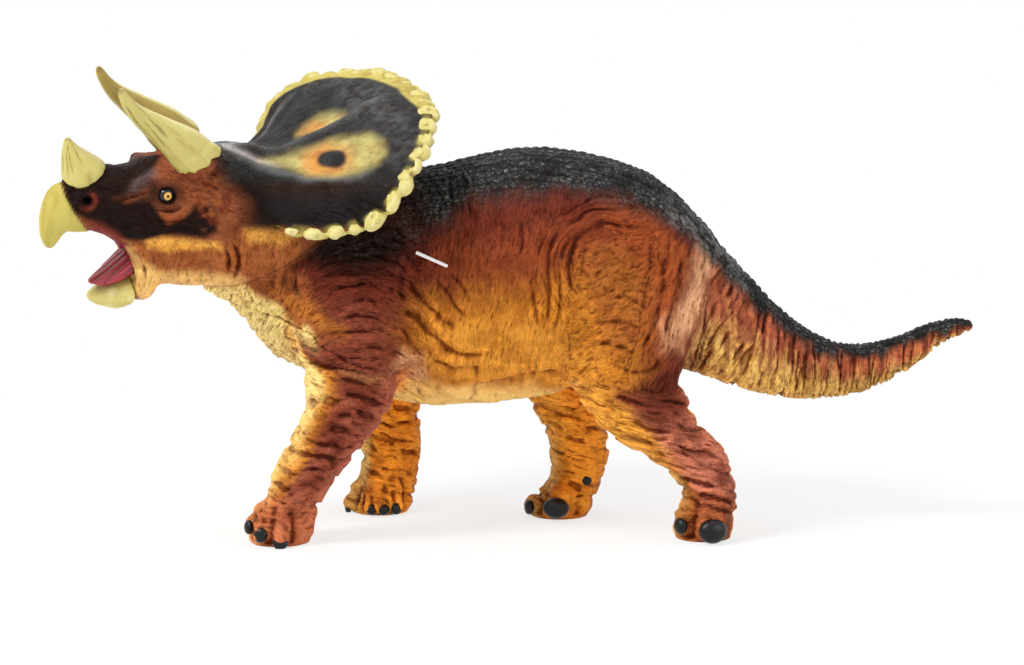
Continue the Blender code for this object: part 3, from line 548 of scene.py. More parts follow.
tailLine = middleLine(onTail > 0.35, 0, 3.0)
tailS = np.interp(spots[:, 0], tailLine[:, 0], runAlong(tailLine[:, :3]))
tailMid = np.stack([np.interp(spots[:, 0], tailLine[:, 0], tailLine[:, k]) for k in range(4)], 1)
tailHigh = spots[:, 2] - tailMid[:, 2]
tailAcross = tailS - (0.75 * smoothStep(60, 0, tailS) + 0.12) * tailHigh
tailRound = np.arctan2(spots[:, 1], tailHigh) * tailMid[:, 3]
ringSize = 2.2 - 1.3 * smoothStep(0, 90, tailS)
tailShare = onTail * smoothStep(0, 0.4, tailMid[:, 3] / 6)
wrinkles += wrinkled("B", tailShare, tailRound, tailAcross * 2.2 / ringSize, 2.2, 4.5, 1.3, 1.0, 51)

# pebble rows along the back and the tail's top
trunkLine = np.array([(-110, 92), (-80, 80), (-40, 72), (0, 70), (30, 70), (50, 66), (60, 62), (75, 62)], float)
centreHigh = np.interp(spots[:, 0], trunkLine[:, 0], trunkLine[:, 1])
intoTail = centreHigh + (tailMid[:, 2] - centreHigh) * smoothStep(50, 66, spots[:, 0])
centreHigh = np.where(spots[:, 0] > 58, intoTail, centreHigh)
girthAngle = np.arctan2(depthAt, spots[:, 2] - centreHigh)
girthSize = np.interp(spots[:, 0], [-90, 0, 40, 60, 90, 140], [34, 36, 33, 22, 12, 4])
backRun = spots[:, 0] + 0.65 * np.maximum(spots[:, 0] - 30, 0)
rowAcross = girthAngle * girthSize / 1.25 + 0.34 * mist(spots / 5.0, 61)
rowAlong = backRun / 2.1 + 0.5 * mist(spots / 4.0, 67)


def pebbles(along, across):
    a, b = np.mod(along + np.floor(across) * 0.618, 1), np.mod(across, 1)
    return (1 - np.abs(2 * a - 1) ** 3) * (1 - np.abs(2 * b - 1) ** 3)


# where the charcoal of the back ends, and how softly
charcoalEdge = np.array([
    (200, 215), (262, 236), (300, 250), (335, 262), (365, 268), (395, 262), (430, 236), (471, 203), (520, 196),
    (560, 194), (601, 197), (644, 209), (676, 226), (694, 243), (712, 262), (733, 287), (766, 316), (798, 343),
    (831, 357), (858, 360), (899, 352), (939, 335), (967, 327), (985, 325),
], float)
edgeDown = np.interp(bodyX, charcoalEdge[:, 0], charcoalEdge[:, 1])
streak = 4 * mist(np.stack([bodyX / 7, bodyY / 60, bodyX * 0], 1), 71)
streak += 3.5 * clouds(spots, 5.0, 73)
below = bodyY - edgeDown + streak
fadeWidth = np.interp(bodyX, [400, 480, 640, 760, 860], [24, 19, 17, 11, 6])
charcoal = smoothStep(fadeWidth, -fadeWidth, below) * offHead * (1 - np.clip(legShare, 0, 1) * 0.9)
nape = smoothStep(-14, -44, spots[:, 0] + 0.8 * (spots[:, 2] - 95))
pebbled = smoothStep(fadeWidth * 0.4, -fadeWidth, below) * offHead
pebbled *= smoothStep(120, 60, np.degrees(girthAngle)) * (1 - nape)
lift += wrinkles * (1 - 0.75 * pebbled) + 0.55 * pebbled * (pebbles(rowAlong * 0.7, rowAcross * 0.5) - 0.6)
lift += 0.12 * clouds(spots, 9.0, 79) * offHead
grit = smoothStep(0.15, 0.6, mist(spots / 2.6, 211)) * smoothStep(0.2, 0.7, -normals[:, 0] - normals[:, 2])
lift += 0.55 * chest * onTrunk * grit
print("trunk, legs and tail carved")

# the head: grooves and ridges as lines in the picture, width, height and a groove's lips
headFolds = [
    ([(119, 241), (124, 254), (131, 272), (136, 294)], 2.4, 0.8, 0.4),
    ([(130, 244), (139, 258), (146, 276), (148, 284)], 2.2, 0.6, 0.4),
    ([(150, 246), (154, 262), (156, 278)], 1.8, 0.35, 0.4),
    ([(230, 238), (237, 252), (238, 268), (232, 282)], 2.4, 0.8, 0.4),
    ([(222, 243), (229, 260), (226, 276)], 2.0, 0.5, 0.4),
    ([(184, 193), (198, 190), (212, 193), (219, 203)], 1.5, 0.35, 0.4),
    ([(182, 199), (196, 197), (209, 201), (216, 211)], 1.5, 0.35, 0.4),
    ([(178, 186), (193, 182), (209, 184), (222, 194)], 1.6, 0.35, 0.4),
    ([(182, 177), (198, 173), (214, 175), (226, 186)], 1.6, 0.3, 0.4),
    ([(152, 207), (163, 211), (176, 210), (186, 204)], 1.5, 0.4, 0.5),
    ([(148, 214), (165, 222), (182, 221), (195, 212)], 1.8, 0.35, 0.4),
    ([(116, 203), (130, 198), (146, 193), (155, 190)], 1.7, 0.45, 0.4),
    ([(89, 220), (104, 226), (116, 232)], 1.6, 0.35, 0.4),
    ([(62, 184), (77, 186), (90, 183), (100, 176), (105, 166)], 1.4, 0.5, 0.0),
    ([(60, 183), (66, 197), (74, 212), (85, 228)], 1.3, 0.5, 0.0),
    ([(160, 154), (162, 163), (171, 170), (183, 173), (196, 170), (212, 165), (219, 157)], 1.4, 0.5, 0.0),
]
headRidges = {
    "cheekbone": ([(122, 192), (134, 184), (148, 177), (163, 168)], 4.5, 0.7),
    "upperLid": ([(155, 187), (164, 184), (175, 185), (182, 190)], 2.4, 0.7),
    "lowerLid": ([(154, 203), (164, 207), (176, 205), (182, 198)], 2.2, 0.45),
    "frill": ([(222, 150), (245, 161), (267, 170), (296, 178), (333, 181), (356, 178), (377, 168), (395, 159)],
              5.0, 0.9),
    "snout": ([(74, 190), (82, 188), (92, 189)], 3.0, 0.3),
}
for points, width, depth, lip in headFolds:
    lift += fold(nearHead, points, width, depth, lip) * onHead
for points, width, depth in headRidges.values():
    lift -= fold(nearHead, points, width, depth, 0.15, 0.25) * onHead


def ringAt(places, centre, wide, high):  # distance from a spot's centre, 1 at its edge
    offset = (places - np.array(centre)) / np.array([wide, high])
    return np.hypot(offset[:, 0], offset[:, 1])


nostril = ringAt(nearHead, (87, 201), 9, 8.5)
eyeRing = ringAt(nearHead, (167, 195.6), 10.5, 10)
lift += onHead * (0.55 * np.exp(-(((nostril - 0.95) / 0.4) ** 2)) - 1.5 * smoothStep(0.62, 0.2, nostril))
lift += onHead * (0.4 * np.exp(-(((eyeRing - 1.15) / 0.3) ** 2)) - 0.55 * smoothStep(1.0, 0.55, eyeRing))

frillFacing = headNormals @ np.array([-0.79, 0.0, 0.62])
frillFront = smoothStep(-0.15, 0.2, frillFacing)
inFrill = smoothStep(228, 262, nearHead[:, 0]) * isHead * smoothStep(254, 240, nearHead[:, 1])
spine = np.exp(-((headY / 2.0) ** 2)) * smoothStep(-40, -20, headX) * smoothStep(31, 18, headX)
lift += 0.7 * spine * frillFront * isHead
headAt = nearHead * pixel
frillRadius, frillAngle = around((235.0, 180.0), headAt)
lift += 0.1 * creases(frillRadius, frillAngle * 26, depthAt * 0.05, 1.5, 6.0, 83) * inFrill
cheek = [(132, 246), (160, 243), (222, 246), (244, 232), (300, 240), (300, 300), (130, 300)]
cheek = zone(nearHead, cheek, 6) * isHead
face = isHead * (1 - inFrill) * (1 - cheek)
beak = [(58, 180), (61, 183), (66, 197), (74, 212), (85, 228), (92, 236), (60, 262), (30, 262), (30, 200)]
beak = zone(nearHead, beak, 1.2) * isHead * smoothStep(-60, -64, headX)
hornBase = [(152, 150), (160, 154), (163, 165), (173, 171), (196, 170), (220, 158), (215, 140)]
bare = np.clip(beak + zone(nearHead, hornBase, 2) * 0.5, 0, 1)
wrinkles = np.zeros(len(spots))
xAt, yAt = headAt.T
for row in [
    ("D", cheek * onHead, yAt, xAt + 0.15 * yAt, 1.6, 2.4, 0.4, 0.8, 89),
    ("B", face * (1 - bare), xAt + yAt * 0.4, yAt - xAt * 0.4, 1.6, 2.4, 0.3, 0.7, 97),
    ("A", inFrill, frillRadius, frillAngle * 26, 1.5, 5.0, 0.12, 0.3, 103),
]:
    wrinkles += wrinkled(*row)
lift += wrinkles + 0.22 * beak + 0.05 * beak * clouds(headSpots * np.array([1, 1, 0.25]), 1.5, 101)
rimHalf = smoothCurve([
    (34.4, 0.0, 43.9), (33.4, 9.4, 43.8), (31.2, 19.9, 43.2), (27.6, 28.2, 40.9), (23.4, 35.7, 38.0),
    (18.5, 42.8, 35.3), (14.4, 46.7, 31.3), (9.4, 49.9, 25.9), (4.6, 46.9, 19.4), (0.8, 40.2, 15.4),
    (-6.0, 35.2, 12.2), (-12.6, 31.0, 11.6),
], 8)
rimHalf = rimHalf * np.array([1, 0.976, 1]) + np.array([-0.6, 0, 1.1])
rimGap, _ = lineDistance(mirrored(headSpots) * np.array([1, -1, 1]), rimHalf, 12)
lift -= 1.25 * np.exp(-((rimGap / 4.2) ** 2)) * isHead  # room for the band of lumps

# toes: a swelling behind each claw
claws = {
    # places in the picture with half width and half height in pixels, then the turn of the hidden one
    "foreleg_left": ([(249, 526, 6.5, 7), (259, 536, 7, 7.5), (279, 541, 7.5, 6.5)], -75),
    "foreleg_right": ([(349, 506, 5, 6.5), (371, 509, 6, 5.5), (384, 510, 6, 5.5), (398, 508, 6, 6)], 62),
    "hindleg_left": ([(679.5, 526, 8, 8), (713, 530, 14, 12)], -95),
    "hindleg_right": ([(530, 505, 7, 7.5), (557, 509, 13, 10.5), (587, 480, 5, 5)], 66),
}
toeWork = {"hidden": (2.1, 2.0), "onGround": 8, "rise": 2.1, "hiddenRise": 0.8, "highRise": 0.7}
skinTree = searchTree(spots, faces)


def seenOn(across, down, near):
    # where a line of sight meets the skin, or comes closest to it beside the outline
    ray = sightLine(across, down)
    ray = ray / np.linalg.norm(ray)
    hit = skinTree.ray_cast(Vector(eyePoint), Vector(ray))
    if hit[0] is None or np.linalg.norm(np.array(hit[0]) - near) > 22:
        hit = skinTree.find_nearest(Vector(eyePoint + ray * ((near - eyePoint) @ ray)))
    return np.array(hit[0]), np.array(hit[1])


clawSpots = {}
for name, (shown, hidden) in claws.items():
    foot = spots[(onLegs[name] > 0.5) & (spots[:, 2] < 5)]
    centre = (foot.min(0) + foot.max(0)) / 2
    mine = [(*seenOn(across, down, centre), wide * pixel, high * pixel) for across, down, wide, high in shown]
    turn = math.radians(hidden)
    ahead = np.array([-math.cos(turn), math.sin(turn) * (-1 if "left" in name else 1), 0])
    hit = skinTree.ray_cast(Vector(centre + ahead * 40 + np.array([0, 0, 0.6])), Vector(-ahead))
    mine.append((np.array(hit[0]), np.array(hit[1]), *toeWork["hidden"]))
    clawSpots[name] = mine
    foot = np.flatnonzero((onLegs[name] > 0.3) & (spots[:, 2] < 26))
    for spot, facing, wide, high in mine:
        low, unseen = spot[2] < toeWork["onGround"], wide == toeWork["hidden"][0]
        inward = -facing * np.array([1, 1, 0])
        inward /= np.linalg.norm(inward)
        knuckle = spot + np.array([0, 0, 4.0 + high]) + inward * 1.2
        instep = spot + np.array([0, 0, 8.0 + high]) + inward * 4
        gap, run = lineDistance(spots[foot], np.array([spot, knuckle, instep]), 14)
        size = max(wide * 1.15, 1.9)
        swell = np.exp(-((gap / size) ** 2))
        swell -= 0.8 * low * np.exp(-(((gap - 1.75 * size) / (0.5 * size)) ** 2))
        rise = toeWork["hiddenRise" if unseen else "rise" if low else "highRise"]
        lift[foot] += rise * swell * smoothStep(1.0, 0.5, run)
heel = smoothStep(9, 3, spots[:, 2]) * np.clip(legShare, 0, 1)
lift += heel * 0.35 * clouds(spots, 4.0, 203)

# the carved skin, and where its grooves and ridges lie
lift *= smoothStep(0.2, 1.4, spots[:, 2])  # the soles stay flat
spots = spots + normals * lift[:, None]
spots[:, 2] = np.maximum(spots[:, 2], 0)
for name, mask in onLegs.items():
    _, midX, midY = legRings[name]
    tuck = 0.11 * smoothStep(3.4, 0, spots[:, 2]) * (mask > 0.5)
    spots[:, 0] += (midX - spots[:, 0]) * tuck
    spots[:, 1] += (midY - spots[:, 1]) * tuck
carvedNormals = pointNormals(spots, faces)
local, broad = smoothed(lift, pairs, 8), smoothed(lift, pairs, 40)
# the groove share darkens the paint in the shader, broad hollows too (washed-in paint and painted shade); the ridge
# share lightens it (dry-brushed paint and painted highlight)
groove = np.clip((local - lift) / 0.44, 0, 1)
ridge = np.clip((lift - local) / 0.26, 0, 1)
groove = np.clip(groove * 0.8 + np.clip((broad - local) / 0.8, 0, 1) * 0.5, 0, 1)
print("head carved")

# paint: airbrushed zones, one over another
paints = {name: colour(*seen) for name, seen in {
    "charcoal": (38, 37, 36), "maroon": (112, 46, 30), "rust": (160, 78, 36), "amber": (206, 130, 42),
    "gold": (246, 172, 66), "pale": (248, 208, 122), "plum": (100, 42, 28), "darkBrown": (30, 15, 11),
    "foot": (206, 120, 80), "bone": (192, 178, 94), "cream": (206, 192, 118), "orange": (214, 128, 52),
    "black": (10, 9, 9), "crimson": (120, 30, 36), "band": (248, 180, 80), "chin": (252, 206, 124),
    "cheek": (170, 98, 52), "temple": (146, 82, 50), "slate": (112, 112, 112), "cloud": (176, 172, 170),
    "farLeg": (255, 168, 56), "peach": (250, 190, 142), "tailSide": (188, 102, 68), "olive": (168, 150, 62),
    "tailUnder": (255, 206, 112), "mauve": (96, 78, 78), "rose": (196, 112, 88), "legBrown": (142, 74, 54),
    "mauvePink": (208, 126, 98), "haunch": (164, 92, 41), "bellyPeach": (255, 206, 120),
    "glow": (255, 232, 150), "thigh": (134, 62, 34), "tailRose": (250, 138, 92),
}.items()}


class Coat:
    def __init__(self, paint):
        self.shade = np.tile(paints[paint], (len(spots), 1))

    def lay(self, paint, mask):
        over = paint.shade if isinstance(paint, Coat) else paints[paint]
        self.shade = self.shade + (over - self.shade) * np.clip(mask, 0, 1)[:, None]

    def zones(self, places, rows):  # paint, strength, soft edge in pixels, outline, mottling
        for paint, strength, soft, outline, *mottle in rows:
            self.lay(paint, strength * (mottle[0] if mottle else 1) * zone(places, outline, soft))


blotch = clouds(spots, 7.0, 111)
sway = 6 * np.stack([mist(spots / 6.0, seed) for seed in (113, 127)], 1)
at = bodyPlace + sway
coat = Coat("maroon")
coat.zones(at, [
    ("rust", 0.55, 26, [(440, 250), (560, 226), (640, 216), (684, 240), (684, 330), (660, 360), (600, 300),
                        (450, 300)]),
    ("amber", 1, 30, [(424, 304), (470, 296), (530, 290), (580, 274), (622, 262), (648, 282), (654, 320),
                      (640, 352), (644, 404), (600, 424), (540, 398), (440, 390), (404, 352), (404, 322)]),
    ("gold", 0.5, 16, [(424, 334), (470, 322), (530, 326), (580, 336), (600, 360), (590, 384), (520, 386),
                       (450, 380), (420, 356)]),
    ("haunch", 0.75, 18, [(572, 250), (640, 240), (672, 270), (664, 326), (640, 356), (604, 352), (590, 300)]),
    ("rust", 0.8, 16, [(604, 212), (660, 214), (688, 250), (680, 320), (664, 352), (640, 340), (654, 290),
                       (630, 250)]),
    ("bellyPeach", 0.85, 6, [(345, 370), (400, 378), (440, 385), (520, 389), (580, 384), (600, 400),
                             (600, 430), (300, 430)]),
])
# a painted highlight down the rump, in peach
gleam = stripe(at, [(690, 226), (704, 256), (703, 288), (692, 316), (672, 342)], 11.5)
coat.lay("peach", 1.05 * gleam * (0.88 + 0.35 * clouds(spots * np.array([1.6, 1, 0.5]), 3.0, 241)))
coat.zones(at, [
    # the lower end of the rump's painted highlight
    ("peach", 0.52, 10, [(658, 320), (684, 312), (684, 350), (664, 354)]),
    ("plum", 0.85, 10, [(640, 380), (668, 368), (684, 384), (680, 420), (652, 430), (630, 410)]),
    ("plum", 0.7, 18, [(300, 244), (400, 240), (404, 300), (410, 330), (380, 330), (330, 300), (300, 280)]),
    ("darkBrown", 0.9, 15, [(262, 234), (330, 232), (404, 226), (404, 252), (372, 270), (330, 268), (290, 256)]),
    ("legBrown", 0.6, 14, [(326, 300), (392, 312), (404, 350), (396, 380), (330, 372), (316, 330)]),
    ("cheek", 0.85, 12, [(200, 236), (262, 244), (300, 276), (328, 318), (318, 352), (262, 316), (215, 285)]),
    ("darkBrown", 0.35, 10, [(262, 260), (300, 276), (330, 318), (300, 330), (262, 300)],
     smoothStep(0.1, 0.6, mist(spots / 4.0, 219))),
])
belowThroat = at[:, 1] - 268 - (at[:, 0] - 225) * 0.79
front = smoothStep(-7, 7, belowThroat) * smoothStep(324, 300, at[:, 0]) * offHead
coat.lay("pale", front * 0.95)
coat.lay("cheek", 0.38 * front * smoothStep(0.15, 0.6, mist(spots / 3.2, 223)))
coat.lay("glow", 0.8 * front * smoothStep(-5, 10, belowThroat))
coat.zones(at, [
    ("amber", 0.5, 9, [(276, 290), (300, 300), (336, 322), (344, 340), (322, 334), (290, 312)]),
    # peach at the elbow's edge: a painted highlight
    ("peach", 0.6, 8, [(400, 350), (420, 352), (428, 378), (404, 388), (392, 376)]),
])
coat.lay("pale", smoothStep(-0.35, -0.85, carvedNormals[:, 2]) * onTrunk * smoothStep(46, 42, spots[:, 2]))

tailUp = tailHigh / np.maximum(tailMid[:, 3], 1)
tailStreak = mist(np.stack([tailS / 1.2, tailHigh / 9, spots[:, 1] / 14], 1), 251) + 0.3 * mist(spots / 1.6, 257)
tailCoat = Coat("tailSide")
tailCoat.lay("tailUnder", smoothStep(0.15, -0.6, tailUp + 0.12 * blotch))
tailCoat.lay("tailRose", 0.6 * smoothStep(52, 84, tailS) * smoothStep(-0.7, 0.1, tailUp))
tailCoat.lay("peach", 0.4 * smoothStep(22, 4, tailS))
tailCoat.lay("legBrown", 0.7 * smoothStep(0.0, 0.45, tailStreak) * smoothStep(-1.05, -0.5, tailUp))
tailCoat.lay("pale", 0.35 * smoothStep(-0.1, -0.5, tailStreak) * smoothStep(0.6, 0.0, tailUp))
coat.lay(tailCoat, onTail)

high = spots[:, 2]
for name, mask in onLegs.items():
    angle = legRings[name][0]
    outward = (-1 if "left" in name else 1) * np.sin(angle) + 0.1 * blotch
    ahead = 0.12 * blotch - np.cos(angle)
    outside = smoothStep(0, 0.5, outward)
    hind = "hind" in name
    leg = Coat("farLeg")
    leg.lay("mauvePink" if hind else "legBrown", smoothStep(-0.3, 0.35, outward))
    if not hind:
        leg.lay("maroon", 0.55 * smoothStep(0.5, 0.9, outward) * smoothStep(0.3, -0.2, blotch))
    leg.lay("rose", 0.5 * smoothStep(0.45, 0.95, -ahead) * smoothStep(-0.5, 0.2, outward))
    leg.lay("amber", smoothStep(0.2, 0.7, ahead))
    leg.lay("pale", 0.85 * smoothStep(0.5, 0.92, ahead))
    if hind:
        rings = mist(np.stack([high / 1.9 + 0.5 * blotch, 1.4 * np.cos(angle), 1.4 * np.sin(angle)], 1), 263)
        crook = np.hypot(spots[:, 0] - 44, high - 42)
        leg.lay("gold", 0.95 * smoothStep(18, 34, high) * smoothStep(-0.2, 0.45, ahead))
        leg.lay("thigh", 0.85 * smoothStep(30, 44, high) * outside * smoothStep(0.5, 0.05, ahead))
        leg.lay("maroon", 0.5 * smoothStep(0.1, 0.55, rings) * outside * smoothStep(40, 30, high))
        leg.lay("thigh", 0.4 * smoothStep(16, 8, high) * outside)
        leg.lay("haunch", 0.7 * smoothStep(20, 9, high) * smoothStep(-0.3, 0.3, outward))
        leg.lay("plum", 0.75 * smoothStep(9, 3, crook) * smoothStep(0.2, 0.6, outward))
        leg.lay("maroon", 0.5 * smoothStep(24, 8, high) * smoothStep(0.1, -0.5, ahead) * outside)
        patches = smoothStep(0.0, 0.6, clouds(spots, 5.0, 239))
        leg.lay("plum", 0.45 * patches * smoothStep(0.1, -0.4, ahead) * outside)
    else:
        leg.lay("glow", 0.5 * smoothStep(0.6, 0.95, ahead) * smoothStep(30, 44, high))
        leg.lay("foot", 0.8 * smoothStep(20, 9, high + 2 * blotch) * smoothStep(-0.4, 0.3, outward))
    leg.lay("rust", 0.5 * smoothStep(16, 4, high) * smoothStep(0.2, -0.3, outward) * smoothStep(0.0, 0.4, blotch))
    coat.lay(leg, mask)
coat.lay("charcoal", charcoal * (1 - 0.75 * nape))
coat.lay("darkBrown", charcoal * nape * 0.75)
coat.zones(at, [
    ("cloud", 0.45, 9, [(668, 196), (700, 214), (736, 256), (760, 290), (740, 284), (706, 250), (676, 222)],
     smoothStep(-0.2, 0.5, clouds(spots, 2.4, 229))),
])

head = nearHead + sway * 0.4
headX2, headDown = head.T
headCoat = Coat("temple")
headCoat.zones(head, [
    ("darkBrown", 1, 4, [(111, 198), (150, 203), (157, 209), (168, 224), (185, 218), (198, 203), (217, 208),
                         (219, 232), (206, 241), (177, 236), (152, 239), (128, 245), (116, 232), (88, 221),
                         (65, 205), (60, 180), (105, 160), (165, 150), (150, 178)]),
    ("darkBrown", 0.75, 5, [(104, 170), (150, 176), (160, 184), (156, 204), (120, 210), (96, 206)]),
])
headCoat.lay("darkBrown", 0.6 * smoothStep(2.0, 1.1, ringAt(nearHead, (166, 196), 11, 10)))
headCoat.zones(head, [
    ("maroon", 0.7, 8, [(186, 172), (240, 166), (262, 200), (250, 232), (214, 240), (190, 200)],
     smoothStep(-0.1, 0.5, clouds(spots, 3.4, 231))),
    ("cheek", 0.55, 8, [(196, 176), (226, 170), (232, 220), (206, 232)],
     smoothStep(0.1, 0.6, clouds(spots * np.array([1, 1, 1.6]), 2.4, 243))),
    ("maroon", 0.8, 4, [(86, 219), (104, 224), (122, 234), (128, 250), (112, 246), (92, 236)]),
])
# a painted highlight along the brow ridge, in grey mauve
headCoat.lay("mauve", 0.9 * stripe(head, [(122, 193), (140, 183), (163, 166)], 5.0))
headCoat.lay("temple", 0.5 * stripe(head, [(118, 203), (134, 198), (152, 190)], 2.6))
headCoat.zones(head, [
    ("rust", 0.7, 4, [(162, 213), (174, 218), (184, 214), (182, 220), (170, 224)]),
    ("cheek", 1, 6, [(110, 240), (150, 246), (222, 250), (246, 226), (300, 232), (300, 300), (100, 310)]),
    ("band", 1, 4, [(146, 241), (162, 238), (184, 240), (206, 244), (222, 243), (222, 250), (190, 251),
                    (150, 250)]),
    ("chin", 0.9, 7, [(104, 236), (128, 246), (138, 262), (160, 272), (200, 274), (244, 278), (244, 310),
                      (90, 310)]),
    ("band", 0.7, 6, [(246, 228), (272, 226), (296, 236), (280, 246), (250, 242)]),
])
slate = smoothStep(-20, 16, headX2 - 219 - np.clip(0.6 * (headDown - 160), -20, 26))
slate *= smoothStep(234, 222, headDown)
skullTop = [(176, 148), (222, 147), (262, 160), (262, 172), (240, 168), (214, 152), (180, 156)]
skullTop = zone(head, skullTop, 6)
headCoat.lay("black", slate * 0.92)
headCoat.lay("charcoal", np.maximum(skullTop, slate * smoothStep(186, 176, headDown - 2)))
# grey dry-brushed paint and a painted sheen on the frill's upper part
headCoat.zones(head, [
    ("slate", 0.34, 16, [(346, 88), (396, 88), (416, 130), (410, 164), (390, 160), (392, 134), (356, 118)],
     slate * smoothStep(-0.7, 0.7, clouds(spots, 2.0, 237))),
])
# a painted highlight along the frill's front ridge and its middle ridge
headCoat.lay("slate", 0.6 * stripe(head, headRidges["frill"][0], 3.4) + 0.45 * spine)
# a painted highlight along the ridge behind the brow horn
headCoat.lay("cloud", 0.85 * stripe(head, [(192, 134), (212, 141), (238, 151), (262, 162), (290, 171)], 3.2))

eyeMarks = {
    # outline, halo and pupil, each as centre and half sizes; the far one shows no pupil
    -1: ([(259, 161), (281, 158), (300, 152), (321, 144), (347, 136), (369, 135), (383, 141), (384, 153),
          (377, 164), (359, 173), (333, 178), (306, 175), (289, 168), (271, 164)],
         ((326, 160), 22, 17), ((332, 158.6), 14, 10)),
    1: ([(297, 134), (309, 125), (321, 116), (333, 112), (344, 114), (342, 123), (330, 131), (315, 134)],
        ((312, 130), 16, 11), None),
}
markPlace = headSeen + sway * 0.25
for side, (outline, halo, pupil) in eyeMarks.items():
    mask = ((headY < 0) if side < 0 else (headY >= 0)) * frillFront * isHead
    inside = zone(markPlace, outline, 7.5) * mask * (0.86 + 0.14 * clouds(spots, 2.2, 227))
    headCoat.lay("cream", inside * 0.92)
    headCoat.lay("orange", 0.8 * inside * smoothStep(1.6, 0.5, ringAt(markPlace, *halo)))
    if pupil:
        headCoat.lay("charcoal", mask * smoothStep(1.2, 0.8, ringAt(markPlace, *pupil)))
headCoat.lay("darkBrown", 0.9 * smoothStep(-0.1, -0.5, frillFacing) * inFrill)
headCoat.zones(head, [
    ("black", 0.9, 13, [(246, 186), (300, 194), (350, 190), (384, 176), (400, 200), (370, 226), (300, 234),
                        (262, 222)], inFrill),
])
headCoat.lay("black", smoothStep(1.05, 0.75, eyeRing))
nostrilBack = smoothStep(80, 92, nearHead[:, 0] + 0.6 * (nearHead[:, 1] - 201))
headCoat.lay("maroon", 0.85 * np.exp(-(((nostril - 0.95) / 0.3) ** 2)) * nostrilBack)
headCoat.lay("black", smoothStep(0.7, 0.35, nostril))
mouth = zone(nearHead, [(60, 232), (96, 226), (130, 240), (140, 300), (60, 300)], 3) * (np.abs(headY) < 11)
mouth *= smoothStep(0.6, 0.9, carvedNormals @ np.array([-0.5, 0, -0.85]))
headCoat.lay("crimson", mouth)
coat.lay(headCoat, smoothStep(0.15, 0.85, smoothed(onHead, pairs, 60)))
coat.lay("bone", beak * onHead)
beakClouds = clouds(headSpots * np.array([1, 1, 0.4]), 3.0, 233)
coat.lay("olive", 0.5 * beak * onHead * smoothStep(-0.1, 0.7, beakClouds))
# bone paint goes in past the rim's lumps, wider behind, at the top and on the far side
behind = smoothStep(0.3, -0.1, frillFacing)
crown = smoothStep(306, 284, headSeen[:, 0]) * smoothStep(168, 150, headSeen[:, 1])
crown = np.maximum(smoothStep(112, 92, headSeen[:, 1]), crown)
border = 3.2 + 3.6 * behind + 2.4 * crown * (1 - behind)
coat.lay("bone", smoothStep(border, border - 1.0, rimGap) * isHead)
# the share of grey dry-brushed paint and painted sheen: all over the back, on the frill only where the paint is dark
greyed = np.maximum(slate * (0.04 + 0.96 * smoothStep(200, 172, nearHead[:, 1])), skullTop)
greyed *= onHead * (1 - smoothStep(4.8, 3.6, rimGap))
greyed *= smoothStep(0.16, 0.08, coat.shade @ np.array([0.3, 0.6, 0.1]))
darkness = np.maximum(charcoal * (1 - 0.6 * nape), greyed)
print("painted")


# shader sheets: a wire is a value on its way from one node to the next
class Wire:
    def __init__(self, sheet, socket):
        self.sheet, self.socket = sheet, socket

    def math(self, operation, *values):
        return self.sheet.node("Math", {"operation": operation}, dict(enumerate(values)))

    def __add__(self, other):
        return self.math("ADD", self, other)

    def __sub__(self, other):
        return self.math("SUBTRACT", self, other)

    def __rsub__(self, other):
        return self.math("SUBTRACT", other, self)

    def __mul__(self, other):
        return self.math("MULTIPLY", self, other)

    __radd__ = __add__
    __rmul__ = __mul__

    def between(self, low, high):  # 0 at low, 1 at high
        values = {0: self, 1: low, 2: high, 3: 0.0, 4: 1.0}
        return self.sheet.node("MapRange", {"interpolation_type": "SMOOTHSTEP"}, values)


class Sheet:
    def __init__(self, name, holder=None):
        self.paint = holder or bpy.data.materials.new(name)
        self.paint.use_nodes = True
        self.tree = self.paint.node_tree
        self.tree.nodes.clear()

    def node(self, kind, settings=None, values=None, out=0):
        made = self.tree.nodes.new("ShaderNode" + kind)
        for key, value in (settings or {}).items():
            if key == "stops":
                ramp = made.color_ramp
                between = [ramp.elements.new(0.5) for _ in value[2:]]
                for element, (place, shade) in zip([ramp.elements[0], *between, ramp.elements[-1]], value):
                    element.position, element.color = place, (*shade, 1.0)
            else:
                setattr(made, key, value)
        for key, value in (values or {}).items():
            if isinstance(value, Wire):
                self.tree.links.new(value.socket, made.inputs[key])
            elif isinstance(value, np.ndarray):
                made.inputs[key].default_value = (*value, 1.0)
            else:
                made.inputs[key].default_value = value
        return Wire(self, made.outputs[out]) if len(made.outputs) else None

    def mix(self, under, over, share, way="MIX"):
        return self.node("Mix", {"data_type": "RGBA", "blend_type": way}, {0: share, 6: under, 7: over}, 2)

    def tinted(self, shade, tint, share):
        return self.mix(shade, self.mix(shade, tint, 1.0, "MULTIPLY"), share)

    def value(self, name, out="Fac"):
        return self.node("Attribute", {"attribute_name": name}, out=out)

    def place(self):
        return self.node("TexCoord", None, None, "Object")

    def noise(self, place, scale, detail=3.0, rough=0.6):
        return self.node("TexNoise", None, {"Vector": place, "Scale": scale, "Detail": detail, "Roughness": rough})

    def cells(self, place, feature, settings=None, **values):
        values["Vector"] = place
        return self.node("TexVoronoi", {"feature": feature, **(settings or {})}, values)

    def finish(self, shade, roughness, bump=None, distance=0.0, coat=0.0, gloss=0.5):
        values = {"Base Color": shade, "Roughness": roughness, "Coat Weight": coat, "Coat Roughness": 0.25}
        values["Specular IOR Level"] = gloss
        if bump is not None:
            values["Normal"] = self.node("Bump", None, {"Strength": 1.0, "Distance": distance, "Height": bump})
        shader = self.node("BsdfPrincipled", None, values)
        self.node("OutputMaterial", None, {"Surface": shader})
        return self.paint
